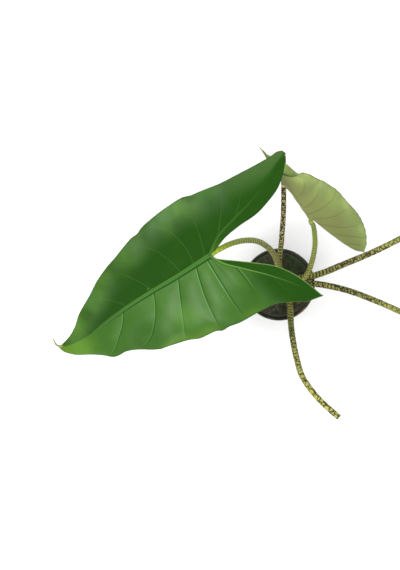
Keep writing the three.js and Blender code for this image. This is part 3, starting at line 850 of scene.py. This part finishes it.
def finished(name, shape, finishes, nodes=(), smooth=True, place=None):
    """Make the piece an object at the origin, riding with the body, in metres."""
    matrix = Matrix.Scale(MM, 4) @ (place or Matrix.Identity(4))
    bmesh.ops.transform(shape, matrix=matrix, verts=shape.verts)
    mesh = bpy.data.meshes.new(name)
    shape.to_mesh(mesh)
    shape.free()
    for polygon in mesh.polygons:
        polygon.use_smooth = smooth
    for finish in finishes:
        mesh.materials.append(finish)
    piece = bpy.data.objects.new(name, mesh)
    bpy.context.scene.collection.objects.link(piece)
    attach(piece, "root")
    if nodes:
        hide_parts(*nodes)


def phase_at(veins, share, across, before):
    """How many side veins lie before this place, counting in between them. before is the first
    vein of the patch on the other side of the leaf's seat, and how long that patch is beside this."""
    first, ratio = before
    spots = [t0 + lean * across + bend * across ** 2 for t0, lean, bend in [first, *veins]]
    spots.append(BEYOND_TIP)
    spots[0] *= -ratio
    for i in range(len(spots) - 1):
        if share < spots[i + 1] or i == len(spots) - 2:
            return i + (share - spots[i]) / (spots[i + 1] - spots[i])


def patch(shape, maps, first, second, columns, rows, crowding, height, veins, before, looks, turned):
    """A grid of blade between two curves. height raises a place of the flat grid, and looks gives
    the width of the rib beside it, its place along the leaf, how clear its veins are and its tone."""
    verts = bmesh.ops.create_grid(shape, x_segments=columns, y_segments=rows, size=0.5)["verts"]
    sides = [(first.at(i / columns), second.at(i / columns)) for i in range(columns + 1)]
    cells = {}
    for vert in verts:
        i = round((vert.co.x + 0.5) * columns)
        j = round((vert.co.y + 0.5) * rows)
        share = i / columns
        across = (j / rows) ** crowding
        near, far = sides[i]
        phase = phase_at(veins, share, across, before)
        vert.co = height(near.lerp(far, across), share, across, near, far, phase)
        cells[i, j] = (vert.co.copy(), phase, share, across, (far - near).length)
    spacing = {}
    for i, j in cells:
        low_i, high_i = max(i - 1, 0), min(i + 1, columns)
        low_j, high_j = max(j - 1, 0), min(j + 1, rows)
        by_i = cells[high_i, j][0] - cells[low_i, j][0]
        by_j = cells[i, high_j][0] - cells[i, low_j][0]
        phase_i = cells[high_i, j][1] - cells[low_i, j][1]
        phase_j = cells[i, high_j][1] - cells[i, low_j][1]
        ii, ij, jj = by_i.dot(by_i), by_i.dot(by_j), by_j.dot(by_j)
        whole = max(ii * jj - ij * ij, 1e-9)
        steep = (jj * phase_i ** 2 - 2 * ij * phase_i * phase_j + ii * phase_j ** 2) / whole
        spacing[i, j] = min(1 / math.sqrt(max(steep, 1e-6)), NO_VEIN[1])
    index = {vert: (k % (columns + 1), k // (columns + 1)) for k, vert in enumerate(verts)}
    faces = faces_of(verts)
    for face in faces:
        for loop in face.loops:
            i, j = index[loop.vert]
            _, phase, share, across, chord = cells[i, j]
            half_width, reach, clear, tone = looks(share, across)
            loop[maps["vein"]].uv = (phase, spacing[i, j])
            loop[maps["rib"]].uv = (across * chord / half_width, (1 - across) * chord)
            loop[maps["place"]].uv = (reach, clear)
            loop[maps["tone"]].uv = tone
    if turned:
        bmesh.ops.reverse_faces(shape, faces=list(faces))


def stem(shape, maps, curve, radius_at, steps, sides, tone_at=None, material=0, cut=False, leaf_place=0):
    """A round stem along a curve, closed at both ends, with its turn and its length mapped, and
    the small cross marks of its skin counted, which are further apart where it stands upright."""
    rings = [(0, 0), (0, 0.5), (0, 0.9)]
    rings += [(i / steps, 1) for i in range(steps + 1)]
    rings += [(1, 0.97), (1, 0.9), (1, 0.6), (1, 0.3), (1, 0)] if cut else [(1, 0.9), (1, 0.5), (1, 0)]
    verts = bmesh.ops.create_grid(shape, x_segments=len(rings) - 1, y_segments=sides, size=0.5)["verts"]
    frames = []
    aside = None
    for share, _ in rings:
        heading = curve.heading(share)
        if aside is None:
            aside = heading.orthogonal().normalized()
        aside = (aside - heading * aside.dot(heading)).normalized()
        frames.append((curve.at(share), heading, aside.copy(), aside.cross(heading)))
    dashes = [0]
    for (start, *_), (end, *_) in zip(frames, frames[1:]):
        gap = end - start
        dashes.append(dashes[-1] + max(gap.to_2d().length, DASH_FLOOR * gap.length) / DASH_GAP)
    index = {vert: (k % len(rings), k // len(rings)) for k, vert in enumerate(verts)}
    for vert, (i, j) in index.items():
        share, swell = rings[i]
        centre, heading, across, up = frames[i]
        angle = math.tau * j / sides
        radius = radius_at(share)
        bulge = 0 if cut and share == 1 else radius * 0.6 * math.sqrt(1 - swell * swell)
        out = 1 if share > 0.5 else -1
        vert.co = centre + (across * math.cos(angle) + up * math.sin(angle)) * radius * swell
        vert.co += heading * bulge * out
    for face in faces_of(verts):
        face.material_index = material
        for loop in face.loops:
            i, j = index[loop.vert]
            share, swell = rings[i]
            loop[maps["skin"]].uv = (j / sides, share * curve.length * MM)
            loop[maps["tone"]].uv = tone_at(share) if tone_at else (0, 0)
            loop[maps["cut"]].uv = (1 - swell if cut and share == 1 else 0, dashes[i])
            loop[maps["vein"]].uv = NO_VEIN
            loop[maps["rib"]].uv = NO_RIB
            loop[maps["place"]].uv = (leaf_place, 0)
    bmesh.ops.remove_doubles(shape, verts=verts, dist=1e-4)


def placing(leaf):
    """Where a leaf's own plane lies in the plant."""
    yaw = Matrix.Rotation(math.radians(leaf["yaw"]), 4, "Z")
    turn = yaw @ Matrix.Rotation(math.radians(leaf["pitch"]), 4, "Y")
    return Matrix.Translation(leaf["seat"]) @ turn


def quilting(phase):
    """How far a place stands proud between side veins: 0 on a vein and 1 midway."""
    between = abs((phase + 0.5) % 1 - 0.5) * 2
    return 1 - (1 - between) ** 2


def thickened(shape, sheet, under):
    """Give the sheet its thickness; faces on its other side take the finish `under`."""
    top = set(sheet)
    top_verts = {vert for face in sheet for vert in face.verts}
    bmesh.ops.solidify(shape, geom=sheet, thickness=BLADE)
    for face in shape.faces:
        if face not in top and not any(vert in top_verts for vert in face.verts):
            face.material_index = under


def open_blade(leaf, name, node, finishes, fineness):
    """A flat blade: in each half a patch beside the midrib, one behind the rib of its lobe, and
    a narrow one between that rib and the lobe's inner margin."""
    shape, maps = new_shape()
    tip_span, lobe_span, side_span = leaf["span"]
    scale = leaf["scale"]
    drift = Vector((leaf["vein_seed"] * 13.7, 0, 0))

    def rib_width(share, on_midrib):
        if on_midrib:
            return along(MIDRIB_WIDTHS, share)
        return 0.6 + 1.7 * (1 - share) ** 2.2

    def height_for(half, side, wave_start, on_midrib, puffed):
        def height(spot, share, across, near, far, phase):
            u, v = spot.x, spot.y
            chord = (far - near).length
            aside = v - near.y if on_midrib else v
            w = half["fold"] * (math.hypot(aside, FOLD_ROUNDING) - FOLD_ROUNDING)
            w -= leaf["arch"] * (v / side_span) ** 2
            w -= leaf["bow"] * (u / tip_span) ** 2 if u > 0 else leaf["lobe_bow"] * (u / lobe_span) ** 2
            room = min(chord / WAVE_ROOM, 1)
            wave = math.sin(15 * share + wave_start + side) * step(0, 0.3, share)
            w += leaf["wave"] * across ** 2 * wave * room
            ruffle = noise.noise(Vector((u * 0.045, v * 0.045, side * 5.0)) + drift)
            w += ruffle * 2.4 * across ** 3 * room
            sway = noise.noise(Vector((u * 0.018, v * 0.018, 3.1)) + drift)
            w += sway * 2.0 * min(across * chord / 25, 1)
            if puffed:
                fade = step(0, 0.18, across) * step(1, 0.72, across)
                fade *= step(*leaf["vein_fade"], share - 0.2 * across)
                w += leaf["puff"] * half["clear"] * (quilting(phase) - 0.45) * fade * room
            width = rib_width(share, on_midrib)
            away = across * chord / width
            w += 0.3 * width / USUAL_RIB * max(1 - away ** 2, 0)
            w -= 0.15 * width / USUAL_RIB * math.exp(-((away - 1.7) / 0.6) ** 2)
            return Vector((u, v, w + BLADE / 2)) * scale
        return height

    spines = []
    for side, half in enumerate(leaf["halves"]):
        midrib = Curve(leaf["midrib"])
        rib = Curve(half["rib"])
        inner = Curve(half["inner"])
        back = Curve(half["back"][::-1])
        front = Curve(half["front"])

        def front_looks(share, across):
            vein_end = 0.8 + 0.2 * half["light"]
            clear = half["clear"] * (1 - 0.5 * across) * step(vein_end, vein_end - 0.25, across)
            clear *= step(*leaf["vein_fade"], share - 0.2 * across)
            return rib_width(share, True), share, clear, (half["light"], 0)

        def lobe_looks(share, across):
            clear = half["clear"] * step(0.75, 0.1, across) * step(0.75, 0.2, share)
            light = half["light"] * step(0.6, 0, share)
            return rib_width(share, False), -share, clear, (light, half["pale_rim"] * 0.5)

        def inner_looks(share, across):
            return rib_width(share, False), -share, -1, (0, half["pale_rim"])

        long, short, wide, narrow = [round(number * fineness) for number in BLADE_GRID]
        ratio = rib.length / midrib.length
        patch(shape, maps, midrib, front, long, wide, CROWDING, height_for(half, side, 0, True, True),
              half["front_veins"], (half["back_veins"][0], ratio), front_looks, side == 1)
        patch(shape, maps, rib, back, short, wide, CROWDING, height_for(half, side, 0, False, True),
              half["back_veins"], (half["front_veins"][0], 1 / ratio), lobe_looks, side == 0)
        patch(shape, maps, rib, inner, short, narrow, CROWDING, height_for(half, side, 2, False, False),
              INNER_VEINS, (INNER_VEINS[0], 1), inner_looks, side == 1)
        for curve, on_midrib in ((rib, False), (midrib, True)) if side == 0 else ((rib, False),):
            rise = height_for(half, side, 0, on_midrib, False)
            spots = []
            for i in range(SPINE_POINTS):
                share = i / (SPINE_POINTS - 1)
                at = curve.at(share)
                spots.append(rise(at, share, 0, at, at + Vector((0, 1, 0)), 0.5))
            spines.append((spots, on_midrib))
    bmesh.ops.remove_doubles(shape, verts=shape.verts, dist=1e-3)
    bmesh.ops.dissolve_degenerate(shape, edges=shape.edges, dist=1e-4)
    thickened(shape, shape.faces[:], 1)
    for spots, on_midrib in spines:
        sunk = Curve([spot - Vector((0, 0, SPINE_DEPTH * scale)) for spot in spots])
        thick = scale * (1.9 if on_midrib else 1.5)
        stem(shape, maps, sunk, lambda share: thick * (1 - 0.75 * share), 90, 12, material=1)
    drip = Curve([Vector(spot) * scale for spot in leaf["drip"]])
    stem(shape, maps, drip, lambda share: scale * (2.2 - 1.3 * share), 16, 10, leaf_place=2)
    finished(name, shape, finishes, (node,), place=placing(leaf))


def young_blade(leaf, name, node, finishes):
    """The folded young leaf: its near half lies open with its back up, its far half is tucked
    under and rolled up, and a thick midrib runs along the fold."""
    shape, maps = new_shape()

    def near_height(spot, share, across, near, far, phase):
        u, v = spot.x, spot.y
        x = abs(v)
        round_at = along(leaf["roll"], u)
        dome_start, dome_end, bulge = leaf["dome"]
        dome = bulge * step(dome_start, dome_end, u) * round_at * (1 - (1 - min(x / round_at, 2)) ** 2)
        w = leaf["rise"] + along(leaf["slope"], u) * x - leaf["sag"] * x * x + max(dome, 0)
        w += noise.noise(Vector((u * 0.03, v * 0.03, 0))) * 1.6 * min(x / 20, 1)
        fade = step(0, 0.2, across) * step(0, 0.1, share) * step(1, 0.8, across)
        w -= 0.9 * (quilting(phase) - 0.5) * fade
        room = min((far - near).length / WAVE_ROOM, 1)
        w += 0.8 * across ** 6 * math.sin(share * 60) * room
        return Vector((u, v, w + BLADE / 2))

    def far_height(spot, *_):
        u, reach = spot.x, spot.y
        round_at = along(leaf["roll"], u)
        start = math.radians(along(leaf["start"], u))
        turn = start + reach / round_at
        v = -round_at * (math.sin(turn) - math.sin(start))
        w = -leaf["drop"] - round_at * (math.cos(turn) - math.cos(start))
        return Vector((u, v, w))

    def looks_of(clear, inward):
        def looks(share, across):
            return 0.5, across, clear * (1 - 0.4 * across), (inward, 0)
        return looks

    halves = [(leaf["near"], near_height, 44, True), (leaf["far"], far_height, 64, False)]
    for half, height, rows, flip in halves:
        fold_end = half["front"][-1][0] - 1
        fold = Curve([(0, 0), (fold_end / 2, 0), (fold_end, 0)])
        edge = Curve(half["edge"])
        first_front, first_back = half["front_veins"][0], half["back_veins"][0]
        ratio = edge.length / fold.length
        inward = 0 if half is leaf["near"] else 1
        patch(shape, maps, fold, Curve(half["front"]), 110, rows, 1.0, height, half["front_veins"],
              (first_back, ratio), looks_of(1, inward), flip)
        patch(shape, maps, edge, Curve(half["back"][::-1]), 60, rows, 1.0, height, half["back_veins"],
              (first_front, 1 / ratio), looks_of(0.8, inward), not flip)
    bmesh.ops.remove_doubles(shape, verts=shape.verts, dist=1e-3)
    bmesh.ops.dissolve_degenerate(shape, edges=shape.edges, dist=1e-4)
    thickened(shape, shape.faces[:], 1)
    thick, thin = leaf["rib_radius"]

    def rib_radius(share):
        return (thick + (thin - thick) * share) * (1 + 0.1 * math.sin(share * 43))

    midrib = Curve([(-6, 0, 0), (leaf["rib_end"] / 2, 0, 0), (leaf["rib_end"], 0, 0)])
    stem(shape, maps, midrib, rib_radius, 90, 20)
    stem(shape, maps, Curve(leaf["drip"]), lambda share: 1.6 - 1.1 * share, 20, 12, leaf_place=1)
    finished(name, shape, finishes, (node,), place=placing(leaf))


def stalk_piece(stalk, finish):
    """One stalk, up to its leaf's seat or to its cut end."""
    spots = [Vector(spot) for spot in stalk["route"]]
    if "leaf" in stalk:
        frame_of_leaf = placing(stalk["leaf"])
        spots += [frame_of_leaf @ Vector(spot) for spot in stalk["seat"]]
    curve = Curve(spots)
    foot, end = stalk["radii"]
    shape, maps = new_shape()

    def radius_at(share):
        swell = 1 + 0.012 * math.sin(share * 47) + 0.01 * math.sin(share * 113 + foot)
        return (foot + (end - foot) * share) * swell

    def tone_at(share):
        return along(stalk["bold"], share), along(stalk["green"], share)

    stem(shape, maps, curve, radius_at, 200, 40, tone_at, cut="leaf" not in stalk)
    name = stalk["node"].replace("stalk_", "petiole_")
    finished(name, shape, [finish], (stalk["node"],))


def lathed(shape, profile, sides):
    """Turn a profile of (radius, height) pairs about the upright axis."""
    verts = [shape.verts.new((r, 0, z)) for r, z in profile]
    edges = [shape.edges.new(pair) for pair in zip(verts, verts[1:])]
    bmesh.ops.spin(shape, geom=verts + edges, cent=(0, 0, 0), axis=(0, 0, 1), angle=math.tau,
                   steps=sides, use_merge=True, use_duplicate=False)
    bmesh.ops.remove_doubles(shape, verts=shape.verts, dist=1e-4)


def wall(z):
    """The pot's outer radius at a height below its band."""
    return POT_BASE_RADIUS + POT_SLOPE * z


def drain_place(i):
    """Where a drain hole is in the pot's floor."""
    angle = math.tau * i / DRAIN_HOLES
    return Vector((DRAIN_CIRCLE * math.cos(angle), DRAIN_CIRCLE * math.sin(angle)))


def pot_piece(finish):
    """A thin cup with a stepped band round its mouth, a rolled rim and drain holes."""
    shape, _ = new_shape()
    foot = POT_HEIGHT - POT_BAND
    inside_floor = wall(POT_FLOOR) - POT_WALL
    profile = [
        (POT_BASE_RADIUS - 1.5, 0), (POT_BASE_RADIUS - 0.7, 0.2), (POT_BASE_RADIUS - 0.2, 0.8),
        (POT_BASE_RADIUS, 1.6), (wall(40), 40), (wall(80), 80), (wall(foot - 0.3), foot - 0.3),
        (wall(foot) + 0.3, foot), (wall(foot) + POT_BAND_STEP - 0.5, foot + 0.2),
        (wall(foot) + POT_BAND_STEP, foot + 0.8), (POT_TOP_RADIUS - 0.6, POT_HEIGHT - 5),
        (POT_TOP_RADIUS - 0.1, POT_HEIGHT - 4.4), (POT_TOP_RADIUS, POT_HEIGHT - 3),
        (POT_TOP_RADIUS, POT_HEIGHT - 1), (POT_TOP_RADIUS - 0.25, POT_HEIGHT - 0.3),
        (POT_TOP_RADIUS - 0.8, POT_HEIGHT), (POT_TOP_RADIUS - 2.6, POT_HEIGHT),
        (POT_TOP_RADIUS - 3.0, POT_HEIGHT - 0.3), (POT_TOP_RADIUS - 3.2, POT_HEIGHT - 1),
        (wall(foot) - POT_WALL + 0.2, foot), (wall(foot) - POT_WALL, foot - 1),
        (inside_floor + 0.6, POT_FLOOR + 4), (inside_floor, POT_FLOOR),
    ]
    lathed(shape, profile, POT_SIDES)
    for z, radius in ((0, POT_BASE_RADIUS - 1.5), (POT_FLOOR, inside_floor)):
        outer = {vert for vert in shape.verts
                 if abs(vert.co.z - z) < 1e-3 and abs(vert.co.to_2d().length - radius) < 1e-2}
        edges = [edge for edge in shape.edges if outer.issuperset(edge.verts)]
        for i in range(DRAIN_HOLES):
            at = Matrix.Translation((*drain_place(i), z))
            ring = bmesh.ops.create_circle(shape, segments=28, radius=DRAIN_RADIUS, matrix=at)["verts"]
            edges += {edge for vert in ring for edge in vert.link_edges}
        bmesh.ops.triangle_fill(shape, edges=edges, use_beauty=True)
    open_edges = [edge for edge in shape.edges if edge.is_boundary]
    for i in range(DRAIN_HOLES):
        near = [edge for edge in open_edges
                if (edge.verts[0].co.to_2d() - drain_place(i)).length < DRAIN_RADIUS + 0.5]
        bmesh.ops.bridge_loops(shape, edges=near)
    bmesh.ops.recalc_face_normals(shape, faces=shape.faces)
    finished("nursery_pot", shape, [finish], ("pot",))


def soil_height(x, y):
    """The uneven top of the soil: broad swells as in the solid model, with lumps and grit."""
    far = min(math.hypot(x, y) / SOIL_RADIUS, 1)
    swell = math.sin(0.31 * x + 1.7) * math.cos(0.27 * y - 0.4) + math.sin(0.19 * (x - y)) * 0.7
    z = SOIL_TOP - 0.8 + 1.8 * (1 - far ** 4) + 1.6 * swell * (1 - far ** 8)
    lumps = noise.fractal(Vector((x * 0.09, y * 0.09, 0.5)), 0.6, 2.1, 5)
    grit = noise.noise(Vector((x * 0.6, y * 0.6, 9.0)))
    rim = 1 - 0.6 * far ** 6
    return z + (1.5 * lumps + 0.45 * grit) * rim


def soil_piece(finish):
    """The soil with its crumbled top, filling the pot."""
    shape, _ = new_shape()
    inset = POT_WALL + SOIL_SIDE_GAP
    top_radius = wall(SOIL_TOP - 3) - inset
    foot_z = POT_FLOOR + CLEARANCE
    foot_radius = wall(foot_z) - inset
    rings, sectors = SOIL_GRID
    verts = bmesh.ops.create_grid(shape, x_segments=rings, y_segments=sectors, size=0.5)["verts"]
    for vert in verts:
        radius = (vert.co.x + 0.5) * top_radius
        angle = (vert.co.y + 0.5) * math.tau
        x, y = radius * math.cos(angle), radius * math.sin(angle)
        vert.co = (x, y, soil_height(x, y))
    bmesh.ops.remove_doubles(shape, verts=shape.verts, dist=1e-3)
    rim = [edge for edge in shape.edges if edge.is_boundary]
    side = bmesh.ops.extrude_edge_only(shape, edges=rim)["geom"]
    low = [item for item in side if isinstance(item, bmesh.types.BMVert)]
    for vert in low:
        flat = vert.co.to_2d().normalized() * foot_radius
        vert.co = (flat.x, flat.y, foot_z)
    bmesh.ops.holes_fill(shape, edges=[edge for edge in shape.edges if edge.is_boundary], sides=0)
    bmesh.ops.recalc_face_normals(shape, faces=shape.faces)
    finished("potting_soil", shape, [finish], ("soil",))


def scatter_spot(draw, limit):
    """A random place on the soil, within this radius."""
    radius = limit * math.sqrt(draw.random())
    angle = draw.uniform(0, math.tau)
    return radius * math.cos(angle), radius * math.sin(angle)


def on_soil(x, y, lift):
    """A move to a place on the soil, this far above it."""
    return Matrix.Translation((x, y, soil_height(x, y) + lift))


def tumble(draw, lean):
    """A random turn that leans no further than this."""
    angles = Euler((draw.uniform(-lean, lean), draw.uniform(-lean, lean), draw.uniform(0, 6.28)))
    return angles.to_matrix().to_4x4()


def roughen(draw, verts, upright, amount):
    """Push each corner a random way, up and down by no more than the share upright."""
    for vert in verts:
        push = Vector((draw.uniform(-1, 1), draw.uniform(-1, 1), draw.uniform(-upright, upright)))
        vert.co += push * amount


def chips_piece(finish):
    """Flat bark chips lying on the soil."""
    draw = random.Random(11)
    shape, _ = new_shape()
    count, reach = CHIPS
    for _ in range(count):
        x, y = scatter_spot(draw, reach)
        size = draw.uniform(0.9, 2.6)
        turn = tumble(draw, 0.5)
        flat = Matrix.Diagonal((size * draw.uniform(1, 2.2), size, size * 0.4, 1))
        at = on_soil(x, y, 0.1) @ turn @ flat
        roughen(draw, bmesh.ops.create_cube(shape, size=1, matrix=at)["verts"], 0.5, size * 0.16)
    finished("bark_chips", shape, [finish], smooth=False)


def perlite_piece(finish):
    """A few pale grains on the soil."""
    draw = random.Random(23)
    shape, _ = new_shape()
    count, reach = PERLITE
    for _ in range(count):
        x, y = scatter_spot(draw, reach)
        size = draw.uniform(0.5, 1.2)
        at = on_soil(x, y, size * 0.25)
        grain = bmesh.ops.create_icosphere(shape, subdivisions=1, radius=size, matrix=at)["verts"]
        roughen(draw, grain, 1, size * 0.2)
    finished("perlite_grains", shape, [finish], smooth=False)


def moss_piece(finish):
    """Short moss tufts round a few places on the soil."""
    draw = random.Random(37)
    shape, _ = new_shape()
    for bed_x, bed_y, spread, count in MOSS_BEDS:
        for _ in range(count):
            x = bed_x + draw.gauss(0, spread * 0.5)
            y = bed_y + draw.gauss(0, spread * 0.5)
            if math.hypot(x, y) > MOSS_REACH:
                continue
            turn = tumble(draw, 0.6)
            high = draw.uniform(0.8, 2.0)
            at = on_soil(x, y, high * 0.3) @ turn
            bmesh.ops.create_cone(shape, cap_ends=True, segments=5, radius1=0.42, radius2=0.06,
                                  depth=high, matrix=at)
    finished("moss_tufts", shape, [finish])


def corm_piece(finish):
    """The ringed corm with its crown between the stalks and its roots down into the soil."""
    shape, maps = new_shape()
    curve = Curve([(r, 0, z) for r, z in CORM_PROFILE])
    points = 120
    ringed = []
    for i in range(points + 1):
        spot = curve.at(i / points)
        swell = 0.35 * math.sin(spot.z * 2.4) * step(44, 50, spot.z) * step(126, 120, spot.z)
        ringed.append((max(spot.x + swell, 0) if 0 < i < points else 0, spot.z))
    lathed(shape, ringed, CORM_SIDES)
    bmesh.ops.translate(shape, vec=(*CROWN, 0), verts=shape.verts)
    thick, thin = ROOT_RADII
    for i in range(ROOTS):
        angle = math.tau * i / ROOTS + 0.3
        reach = ROOT_REACH * (0.8 + 0.2 * math.cos(5 * i))
        sideways = Vector((math.cos(angle), math.sin(angle), 0))
        start = Vector((*CROWN, 60)) + sideways * 18
        middle = start + sideways * reach * 0.35
        middle.z = 48
        end = Vector((0, 0, 16)) + sideways * 34
        root = Curve([start, middle, end])
        stem(shape, maps, root, lambda share: thick + (thin - thick) * share, 40, 10)
    bmesh.ops.recalc_face_normals(shape, faces=shape.faces)
    finished("corm_and_roots", shape, [finish], ("corm_with_roots",))


# The plant

green_sides = [
    leaf_top("leaf_top", deep=(0.008, 0.043, 0.001), fresh=(0.031, 0.1, 0.007), gold=(0.08, 0.175, 0.006)),
    leaf_under("leaf_under", pale=(0.08, 0.16, 0.05), shade=(0.055, 0.12, 0.035),
               bright=(0.11, 0.19, 0.06), vein=(0.18, 0.26, 0.09), strength=0.7),
]
young_top = leaf_top(
    "young_leaf_top", deep=(0.012, 0.055, 0.005), fresh=(0.03, 0.1, 0.01), gold=(0.06, 0.15, 0.015))
young_under = leaf_under(
    "young_leaf_under", pale=(0.235, 0.305, 0.09), shade=(0.168, 0.186, 0.062),
    bright=(0.4, 0.48, 0.15), vein=(0.04, 0.055, 0.018), strength=0.7)

open_blade(BIG_LEAF, "big_leaf", "blade_big_leaf", green_sides, 1.0)
open_blade(UPPER_LEAF, "upper_leaf", "blade_upper_leaf", green_sides, 0.7)
open_blade(LOWER_LEAF, "lower_leaf", "blade_lower_leaf", green_sides, 0.7)
young_blade(YOUNG_LEAF, "young_leaf", "blade_young_leaf", [young_under, young_top])

skin = stalk_skin()
for stalk in STALKS:
    stalk_piece(stalk, skin)

pot_piece(pot_plastic())
soil_piece(soil_earth())
chips_piece(bark_chip())
perlite_piece(perlite())
moss_piece(moss_green())
corm_piece(corm_bark())

# Floor, lights and camera

floor_shape, _ = new_shape()
bmesh.ops.create_grid(floor_shape, x_segments=2, y_segments=2, size=FLOOR_REACH)
floor_mesh = bpy.data.meshes.new("floor")
floor_shape.to_mesh(floor_mesh)
floor_shape.free()
floor_mesh.materials.append(floor_paper())
floor = bpy.data.objects.new("floor", floor_mesh)
floor.location = (0, 0, -FLOOR_DROP)
bpy.context.scene.collection.objects.link(floor)

world = bpy.data.worlds.new("studio")
bpy.context.scene.world = world
world.use_nodes = True
backdrop = world.node_tree.nodes["Background"].inputs
backdrop["Color"].default_value = (1, 1, 1, 1)
backdrop["Strength"].default_value = WORLD_STRENGTH


def soft_light(name, place, target, size, power, mirrored_too=True):
    """A square lamp of this size that faces its target, in metres and watts."""
    lamp = bpy.data.lights.new(name, "AREA")
    lamp.shape = "SQUARE"
    lamp.size = size
    lamp.energy = power
    holder = bpy.data.objects.new(name, lamp)
    holder.location = place
    holder.rotation_euler = (Vector(target) - Vector(place)).to_track_quat("-Z", "Y").to_euler()
    holder.visible_glossy = mirrored_too
    bpy.context.scene.collection.objects.link(holder)


soft_light("overhead", (0.1, 0.1, 2.9), (0, 0, 0), 4.0, 160, mirrored_too=False)
soft_light("sheen_front", (-0.85, -1.12, 1.85), (-0.27, -0.04, 0.48), 0.75, 15)
soft_light("sheen_left", (-1.95, 0.05, 1.9), (-0.25, 0, 0.5), 0.6, 10)

view = bpy.context.scene.view_settings
view.view_transform = "Standard"

camera_data = bpy.data.cameras.new("camera")
camera_data.sensor_width = SENSOR_WIDTH
camera_data.lens = LENS_LENGTH
camera = bpy.data.objects.new("camera", camera_data)
camera.location = CAMERA_PLACE
bpy.context.scene.collection.objects.link(camera)
bpy.context.scene.camera = camera
